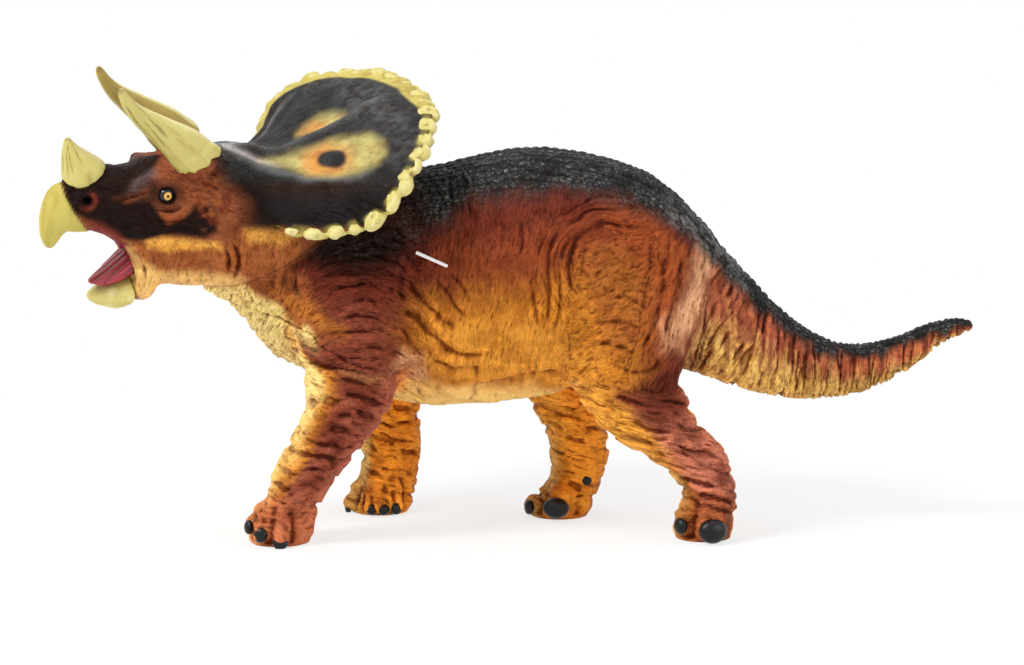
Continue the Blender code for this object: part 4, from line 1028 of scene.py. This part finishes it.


# the vinyl hide: airbrushed paint, dark paint washed into the grooves with painted shade, dry-brushed ridges with
# painted highlights
hideLook = {
    "washAndShade": np.array([0.3, 0.16, 0.13]),  # what a deep groove's washed-in paint and painted shade leave of the paint
    "crinkle": np.array([0.46, 0.32, 0.27]),  # and those of a fine crease
    "washShare": 0.92,
    "shadow": np.array([0.52, 0.36, 0.3]),
    "dryBrushAndHighlight": np.array([1.75, 1.62, 1.5]),
    "brushShare": 0.7,
    "gap": np.array([0.006, 0.005, 0.006]),  # painted shade between pebbles
    "greyBrushAndSheen": colour(128, 130, 128),
    "greyShare": 0.62,
    "net": 0.5,
    "grain": 950.0,
    "pores": 640.0,
    "mottle": 170.0,
    "roughness": 0.46,
    "gloss": 0.07,
    "bump": 0.00028,
}


def hideSheet(name):
    look = hideLook
    sheet = Sheet(name)
    paint = sheet.value("paint", "Color")
    place = sheet.place()
    groove, ridge, dark, smooth, pebbled = (sheet.value(n) for n in ("groove", "ridge", "dark", "smooth", "pebbled"))
    flat = {"voronoi_dimensions": "2D"}
    edge = sheet.cells(sheet.value("rows", "Vector"), "DISTANCE_TO_EDGE", flat, Scale=1.0, Randomness=0.65)
    pebble = edge.between(0.02, 0.36)
    fine = sheet.noise(place, look["grain"])
    pores = sheet.cells(place, "SMOOTH_F1", Scale=look["pores"], Smoothness=0.6)
    mottle = sheet.noise(place, look["mottle"], 4.0)
    rough = 1 - smooth
    shut, raised, height = 0.0, 0.0, 0.0
    for letter in "ABCD":
        flow = sheet.value("flow" + letter, "Vector")
        crease = sheet.noise(flow, 1.0, 2.0, 0.5)
        share = sheet.value("share" + letter)
        bent = sheet.node("VectorMath", {"operation": "ADD"}, {0: flow, 1: crease * 1.3})
        net = sheet.cells(bent, "DISTANCE_TO_EDGE", Scale=look["net"]).between(0.14, 0.0)
        shut = shut + (crease.between(0.48, 0.76) * 0.75 + net * 0.22) * share
        raised = raised + crease.between(0.5, 0.3) * share
        height = height + (0.5 - crease - net * 0.04) * share
    plain = (1 - pebbled * 0.8) * rough
    shut, raised, height = shut * plain, raised * plain, height * plain
    # lower places and fine creases darken with washed-in paint and painted shade
    low = groove + (0.55 - fine) * 0.4 + pores.between(0.5, 0.9) * 0.12
    washAndShade = low.between(0.1, 0.95) * look["washShare"] * rough
    crinkled = (shut * (0.2 + mottle * 1.2) + (0.5 - fine) * 0.3).between(0.05, 0.8) * rough
    shade = sheet.tinted(paint, look["shadow"], mottle.between(0.56, 0.36) * 0.5 * rough)
    shade = sheet.tinted(shade, look["crinkle"], crinkled)
    shade = sheet.tinted(shade, look["washAndShade"], washAndShade)
    # painted shade in the gaps between pebbles
    shade = sheet.mix(shade, look["gap"], edge.between(0.12, 0.02) * pebbled * 0.7)
    # ridges lighten with dry-brushed paint and a painted highlight; tops of dark paint and of pebbles take grey
    # dry-brushed paint and a painted sheen
    high = (ridge * 0.6 + raised * 0.7) * fine.between(0.38, 0.62)
    shade = sheet.tinted(shade, look["dryBrushAndHighlight"], high * (1 - dark) * look["brushShare"] * rough)
    top = (ridge * 0.6 + raised * 0.5 + pebble * pebbled * 0.9 + 0.12) * fine.between(0.42, 0.66)
    top = top * mottle.between(0.34, 0.62)
    shade = sheet.mix(shade, look["greyBrushAndSheen"], top * dark * look["greyShare"] * rough)
    bump = fine * rough * 0.25 + (1 - pores) * rough * 0.2 + height * 7.0 + pebble * pebbled * 1.2
    roughness = look["roughness"] + fine * 0.14 - smooth * 0.1
    return sheet.finish(shade, roughness, bump, look["bump"], gloss=look["gloss"])


def addPiece(name, spots, faces, paint, node, replaces=True, body="figure", normals=None, values=None):
    # spots in millimetres; the piece gets the paint it is given, and hides the node's casting when it replaces it
    mesh = bpy.data.meshes.new(name)
    mesh.from_pydata(((spots + middle) / 1000).tolist(), [], faces.tolist())
    mesh.polygons.foreach_set("use_smooth", [True] * len(mesh.polygons))
    for key, data in (values or {}).items():
        kind, part = ("FLOAT", "value") if data.ndim == 1 else ("FLOAT_VECTOR", "vector")
        if key == "paint":
            kind, part, data = "FLOAT_COLOR", "color", np.hstack([data, np.ones((len(data), 1))])
        mesh.attributes.new(key, kind, "POINT").data.foreach_set(part, data.astype(np.float32).ravel())
    if normals is not None:
        mesh.normals_split_custom_set_from_vertices(normals.tolist())
    mesh.materials.append(paint)
    piece = bpy.data.objects.new(name, mesh)
    bpy.context.scene.collection.objects.link(piece)
    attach(piece, body)
    if replaces:
        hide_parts(node)


values = {
    "paint": coat.shade,
    "groove": groove,
    "ridge": ridge,
    "dark": darkness,
    "pebbled": pebbled,
    "smooth": np.clip(beak * onHead + smoothStep(0.9, 0.6, eyeRing) * onHead + mouth * 0.6, 0, 1),
    "rows": np.stack([rowAlong, rowAcross, rowAcross * 0], 1),
}
for kind in "ABCD":
    values["flow" + kind], values["share" + kind] = flows[kind], shares[kind]
for name in skin["castings"]:
    mine = faces[nearest[faces[:, 0]] == order[name]]
    used, tied = np.unique(mine, return_inverse=True)
    addPiece(
        name + "_skin", spots[used], tied.reshape(mine.shape), hideSheet(name + "_vinyl"), name,
        normals=carvedNormals[used], values={k: v[used] for k, v in values.items()},
    )
    print(" ", name, len(mine) * 2, "triangles")

# bone pieces: horns, frill rim, lower beak
boneLook = {
    "shade": colour(200, 187, 108),
    "streak": colour(160, 138, 52),
    "deep": colour(104, 80, 22),
    "inner": colour(150, 122, 48),
    "light": colour(232, 224, 168),
    "speck": 900.0,
    "roughness": 0.4,
    "gloss": 0.35,
    "bump": 0.00016,
}


def boneSheet(name, streaks=1.0):
    look = boneLook
    sheet = Sheet(name)
    groove = sheet.value("groove")
    strand = sheet.noise(sheet.value("grain", "Vector"), 1.0)
    speck = sheet.noise(sheet.place(), look["speck"])
    shade = sheet.mix(look["shade"], look["streak"], strand.between(0.5, 0.78) * 0.6 * streaks)
    # painted shade on a brow horn's inner side
    shade = sheet.mix(shade, look["inner"], sheet.value("shaded") * 0.8)
    # painted shade in the hollows; on a horn also its darker tip
    shade = sheet.mix(shade, look["deep"], (groove * (0.5 + speck)).between(0.15, 1.0) * 0.65)
    # painted highlight on horns and rim lumps; pale patches at random on the lower beak
    shade = sheet.mix(shade, look["light"], sheet.value("lit") * 0.6)
    bump = strand * 0.7 + speck * 0.3
    return sheet.finish(shade, look["roughness"] + speck * 0.12, bump, look["bump"], gloss=look["gloss"])


def fineCopy(name, grain, passes, swell=0.0):  # a casting meshed anew, its facets taken off
    some, tied = meshArrays(cad[name])
    some, tied = outerPart(*remeshed(some + pointNormals(some, tied) * swell, tied, grain))
    pairs = edgePairs(tied)
    some = softened(some * 1000 - middle, pairs, passes)
    return some, tied, pairs, pointNormals(some, tied)


hornWork = {"grain": 0.00038, "rib": 0.32, "pit": 0.12, "footLip": 0.45, "tipDark": 0.9}
for number, name in enumerate(("brow_horn_left", "brow_horn_right", "nose_horn")):
    some, tied, ties, facing = fineCopy(name, hornWork["grain"], 5)
    local = toHead(some)
    base = local[np.argsort(local[:, 2])[: len(local) // 8]].mean(0)
    axis = local[np.argmax(np.linalg.norm(local - base, axis=1))] - base
    axis /= np.linalg.norm(axis)
    run = (local - base) @ axis
    offset = local - base - run[:, None] * axis
    angle = np.arctan2(offset[:, 1], offset @ np.cross(axis, [0, 1, 0]))
    ring = np.stack([np.cos(angle), np.sin(angle)], 1)
    share = np.clip(run / run.max(), 0, 1)
    ribs = mist(np.column_stack([ring * 2.2, run / 16 + number * 9]) * 1.6, 131)
    wave = -np.abs(ribs) * hornWork["rib"] * smoothStep(1.02, 0.7, share)
    wave += hornWork["pit"] * clouds(np.column_stack([ring * 3, run / 5 + number]), 1.0, 137)
    if number < 2:  # a brow horn's foot stands over the painted skin, as the picture shows it
        past = pastHorn(headPicture(some))
        foot = smoothStep(4, 0, past) * (0.25 + 0.75 * smoothStep(-16, -5, past))
        wave += hornWork["footLip"] * foot - 0.7 * smoothStep(3, 7, past)
    else:
        gap = np.array([headTree.find_nearest(p)[3] for p in ((some + middle) / 1000).tolist()]) * 1000
        wave += 0.3 * smoothStep(0.8, 1.3, gap) - 0.5 * smoothStep(0.9, 0.3, gap)
    # painted shade in the rib hollows, and a darker tip
    deep = np.maximum(hollows(wave, ties, 10, 0.12), hornWork["tipDark"] * smoothStep(0.93, 1.0, share))
    # painted shade on a brow horn's inner side, painted highlight on faces that look up
    inner = smoothStep(0.15, 0.8, (facing @ headTurn)[:, 1] * -np.sign(base[1])) * (number < 2)
    lit = smoothStep(0.35, 0.9, facing[:, 2]) * smoothStep(0.5, -0.1, inner)
    grain = np.column_stack([ring * 2.4, run / 9 + number * 5])
    addPiece(name + "_bone", some + facing * wave[:, None], tied, boneSheet(name + "_bone"), name,
             values={"groove": deep, "grain": grain, "shaded": inner, "lit": lit})
print("horns made")

# the frill's rim: a band with overlapping knobs
rimWork = {
    "band": (2.2, 2.0, 1.8),
    "knobs": 14,
    "knob": (4.0, 3.0, 2.3),
    "endKnob": 0.82,
    "slant": 26,
    "dent": 0.55,
    "grain": 0.00042,
}
run = runAlong(rimHalf)


def alongRim(goal, side):
    spot, ahead, behind = (np.array([np.interp(goal + step, run, rimHalf[:, k]) for k in range(3)])
                           for step in (0, 0.5, -0.5))
    flip = np.array([1, side, 1])
    return spot * flip, (ahead - behind) / np.linalg.norm(ahead - behind) * flip


parts, knobs = [], []
slant = math.radians(rimWork["slant"])
for side in (-1, 1):
    for k in range(rimWork["knobs"] + 1):
        spot, along = alongRim(run[-1] * k / rimWork["knobs"], side)
        outwards = np.array([spot[0] * 0.4 + 2, spot[1], 0])
        outwards -= (outwards @ along) * along
        outwards /= np.linalg.norm(outwards)
        up = np.cross(along, outwards) * side * -1
        size = np.array(rimWork["knob"]) * (1 + 0.12 * math.sin(k * 2.7 + side))
        size = size * (rimWork["endKnob"] if k in (0, rimWork["knobs"]) else 1)
        lengthways = along * math.cos(slant) + outwards * math.sin(slant)
        outer = outwards * math.cos(slant) - along * math.sin(slant)
        parts.append(ballArrays(spot + outwards * 0.4, size, np.stack([lengthways, outer, up], 1)))
        knobs.append((spot + outwards * 0.5, up))
    for goal in np.linspace(0, run[-1], 60):
        spot, _ = alongRim(goal, side)
        parts.append(ballArrays(spot - np.array([0.4, side * 0.6, 0]), rimWork["band"], None, 1))
some, tied = joined(parts)
some, tied = outerPart(*remeshed(some / 1000, tied, rimWork["grain"]))
ties = edgePairs(tied)
some = softened(some * 1000, ties, 3)
facing = pointNormals(some, tied)
wave = 0.16 * clouds(some, 3.2, 151, 3) - 0.34 * smoothStep(0.1, 0.5, mist(some / 2.2, 157))
for spot, up in knobs:  # a shallow dent in the face of each
    offset = some - spot
    gap = np.linalg.norm(offset - (offset @ up)[:, None] * up, axis=1)
    wave -= rimWork["dent"] * np.exp(-((gap / 1.5) ** 2)) * (np.abs(offset @ up) < 5)
some = some + facing * wave[:, None]
proud = ((some - smoothed(some, ties, 30)) * facing).sum(1)
# painted shade in the hollows between lumps, painted highlight on the proud faces
deep = np.clip(hollows(wave, ties, 12, 0.25) * 0.8 + np.clip(-proud / 0.3, 0, 1), 0, 1)
lit = np.clip(proud / 0.5 - 0.3, 0, 1)
addPiece("frill_rim", fromHead(some), tied, boneSheet("rim_bone", 0.7), "head_shell", False,
         values={"groove": deep, "grain": some / 3.0, "shaded": deep * 0, "lit": lit})
print("rim made")

# mouth
some, tied, ties, facing = fineCopy("lower_jaw", 0.0004, 6)
wave = 0.12 * clouds(some, 3.0, 161)
# painted shade in the hollows; the pale patches fall at random
deep, lit = hollows(wave, ties, 10, 0.12), 0.8 * smoothStep(0.2, 0.9, mist(some / 3, 235))
addPiece("lower_beak", some + facing * wave[:, None], tied, boneSheet("lower_beak_bone", 0.6), "lower_jaw",
         values={"groove": deep, "grain": some / 3.0, "shaded": deep * 0, "lit": lit})

tongueLook = {"shade": colour(168, 38, 52), "deep": colour(84, 14, 24), "roughness": 0.3, "wet": 0.3}
tongueWork = {"grain": 0.00036, "groove": 0.38, "spacing": 3.0, "width": 0.55}


def fleshSheet(name):
    sheet = Sheet(name)
    speck = sheet.noise(sheet.place(), 700.0)
    # painted shade in the grooves
    share = (sheet.value("groove") + speck * 0.4).between(0.2, 1.1)
    shade = sheet.mix(tongueLook["shade"], tongueLook["deep"], share)
    return sheet.finish(shade, tongueLook["roughness"] + speck * 0.1, speck, 0.0001, tongueLook["wet"])


some, tied, ties, facing = fineCopy("tongue", tongueWork["grain"], 5)
beside = np.abs(toHead(some)[:, 1]) % tongueWork["spacing"] - tongueWork["spacing"] / 2
wave = -tongueWork["groove"] * np.exp(-((beside / tongueWork["width"]) ** 2)) + 0.06 * clouds(some, 2.0, 163)
# the grooves' hollows carry painted shade
addPiece("tongue_flesh", some + facing * wave[:, None], tied, fleshSheet("tongue_flesh"), "tongue",
         values={"groove": hollows(wave, ties, 10, 0.16)})

# eyes: one seen in the picture, the other its mirror image
eyeWork = {"centre": (167.0, 195.6), "ball": 2.5, "sunk": 1.25, "iris": colour(228, 176, 66), "roughness": 0.2}
skinTree = searchTree(spots, faces)


def eyeSheet():
    sheet = Sheet("eye_paint")
    iris = eyeWork["iris"]
    pupil, socket = np.array([0.004, 0.004, 0.004]), np.array([0.006, 0.005, 0.005])
    stops = [(0.0, pupil), (0.16, pupil), (0.2, iris * 0.8), (0.4, iris), (0.46, iris * 0.6), (0.5, socket),
             (1.0, socket)]
    return sheet.finish(sheet.node("ValToRGB", {"stops": stops}, {0: sheet.value("radius")}), eyeWork["roughness"])


eyePaint = eyeSheet()
hit = skinTree.ray_cast(Vector(eyePoint), Vector(sightLine(*eyeWork["centre"])).normalized())
for name, side in (("eye_left", 1), ("eye_right", -1)):
    flip = np.array([1, side, 1])
    out = (np.array(hit[1]) @ headTurn) * flip
    centre = toHead(np.array([hit[0]]))[0] * flip - out * eyeWork["sunk"]
    ball, tied = ballArrays(centre, (eyeWork["ball"],) * 3, None, 4)
    gap = ball - centre
    across = np.linalg.norm(gap - (gap @ out)[:, None] * out, axis=1) / eyeWork["ball"]
    addPiece(name, fromHead(ball), tied, eyePaint, "head_shell", False,
             values={"radius": np.where(gap @ out > 0, across, 1.0)})
print("mouth and eyes made")

# claws
clawLook = {"shade": colour(13, 12, 13), "rub": colour(60, 56, 58), "speck": 1400.0, "roughness": 0.26, "gloss": 0.3}
clawWork = {"shape": (0.7, 1.05, 1.05), "sunk": 0.15, "lowest": 0.85}


def clawSheet():
    sheet = Sheet("claw_paint")
    speck = sheet.noise(sheet.place(), clawLook["speck"])
    shade = sheet.mix(clawLook["shade"], clawLook["rub"], speck.between(0.55, 0.8) * 0.3)
    return sheet.finish(shade, clawLook["roughness"] + speck * 0.15, speck, 0.00012, gloss=clawLook["gloss"])


clawPaint = clawSheet()
for name, mine in clawSpots.items():
    parts = []
    for spot, facing, wide, high in mine:
        low = spot[2] < toeWork["onGround"]
        out = facing * np.array([1, 1, 0.25 if low else 1])
        out = out / np.linalg.norm(out)
        sideways = np.cross([0, 0, 1], out)
        sideways /= np.linalg.norm(sideways)
        centre = np.array(skinTree.find_nearest(Vector(spot))[0]) - out * wide * clawWork["sunk"]
        if low:
            centre[2] = max(centre[2], high * clawWork["lowest"])
        size = np.array([wide, wide, high]) * clawWork["shape"]
        ball, tied = ballArrays(centre, size, np.stack([out, sideways, np.cross(out, sideways)], 1), 4)
        ball[:, 2] = np.maximum(ball[:, 2], 0.05)
        parts.append((ball, tied))
    ball, tied = joined(parts)
    addPiece(name + "_claws", ball, tied, clawPaint, name, False)
print("claws made")


# what the figure holds: fibre inside, tag fastener in the flank
def plainSheet(name, shade, roughness, scale):
    sheet = Sheet(name)
    speck = sheet.noise(sheet.place(), scale)
    tint = sheet.mix(shade, shade * 0.7, speck.between(0.45, 0.75) * 0.5)
    return sheet.finish(tint, roughness + speck * 0.1, speck, 0.0001)


fillingMesh = cad["fibre_filling"].data
fillingMesh.materials.clear()
fillingMesh.materials.append(plainSheet("filling_fibre", colour(232, 228, 220), 0.85, 500.0))
tagLook = {"shade": colour(244, 240, 240), "roughness": 0.35, "speck": 900.0, "grain": 0.00016, "swell": 0.00002}
some, tied, _, _ = fineCopy("tag_pin", tagLook["grain"], 2, tagLook["swell"])
tagPaint = plainSheet("tag_nylon", tagLook["shade"], tagLook["roughness"], tagLook["speck"])
addPiece("tag_fastener", some, tied, tagPaint, "tag_pin", body="tag")
print("fastener made")


# floor, light, camera
def shownTo(sheet):  # 1 for rays that show the background: to the camera, in a gloss or through glass
    kinds = ("Is Camera Ray", "Is Glossy Ray", "Is Transmission Ray")
    direct, gloss, through = (sheet.node("LightPath", None, None, kind) for kind in kinds)
    return direct.math("MAXIMUM", direct.math("MAXIMUM", direct, gloss), through)


whiteShade = (1, 1, 1, 1)
floorLook = {"shade": 0.93, "near": 0.14, "far": 0.32, "least": 0.72, "reach": 6}
reach = floorLook["reach"]
floorMesh = bpy.data.meshes.new("floor")
corners = [(-reach, -reach, 0), (reach, -reach, 0), (reach, reach, 0), (-reach, reach, 0)]
floorMesh.from_pydata(corners, [], [(0, 1, 2, 3)])
floor = bpy.data.objects.new("floor", floorMesh)
bpy.context.scene.collection.objects.link(floor)
sheet = Sheet("floor_white")
spread = sheet.node("VectorMath", {"operation": "LENGTH"}, {0: sheet.place()}, "Value")
beyond = floorLook["least"] + spread.between(floorLook["near"], floorLook["far"]) * (1 - floorLook["least"])
plain = sheet.node("BsdfDiffuse", None, {"Color": (floorLook["shade"],) * 3 + (1,), "Roughness": 0.0})
white = sheet.node("Emission", None, {"Color": whiteShade, "Strength": 1.0})
mixed = sheet.node("MixShader", None, {0: beyond * shownTo(sheet), 1: plain, 2: white})
sheet.node("OutputMaterial", None, {"Surface": mixed})
floorMesh.materials.append(sheet.paint)

roomLook = {"light": 0.5, "seen": 1.0}
room = Sheet("studio", bpy.data.worlds.new("studio"))
bpy.context.scene.world = room.paint
low, high = (room.node("Background", None, {"Color": whiteShade, "Strength": roomLook[k]}) for k in roomLook)
room.node("OutputWorld", None, {"Surface": room.node("MixShader", None, {0: shownTo(room), 1: low, 2: high})})

lamps = {
    # name: place, size, watts
    "key": ((-0.8, -0.5, 1.0), 0.4, 13.0),
    "fill": ((0.95, -0.6, 0.5), 0.8, 5.0),
    "top": ((0.1, 0.3, 1.1), 0.8, 3.0),
}
for name, (place, size, power) in lamps.items():
    lamp = bpy.data.lights.new(name, "AREA")
    lamp.size, lamp.energy = size, power
    holder = bpy.data.objects.new(name, lamp)
    holder.location = place
    holder.rotation_euler = (Vector(view["target"]) - Vector(place)).to_track_quat("-Z", "Y").to_euler()
    bpy.context.scene.collection.objects.link(holder)

camera = bpy.data.objects.new("camera", bpy.data.cameras.new("camera"))
bpy.context.scene.collection.objects.link(camera)
camera.location = Vector(view["target"]) + Vector(towards.tolist()) * view["distance"]
camera.rotation_euler = (math.radians(90 - view["tilt"]), 0, 0)
camera.data.sensor_width = view["sensor"]
camera.data.lens = view["focal"] / view["width"] * view["sensor"]
camera.data.clip_start = 0.01
bpy.context.scene.camera = camera
bpy.context.scene.view_settings.view_transform = "Standard"

print("done")
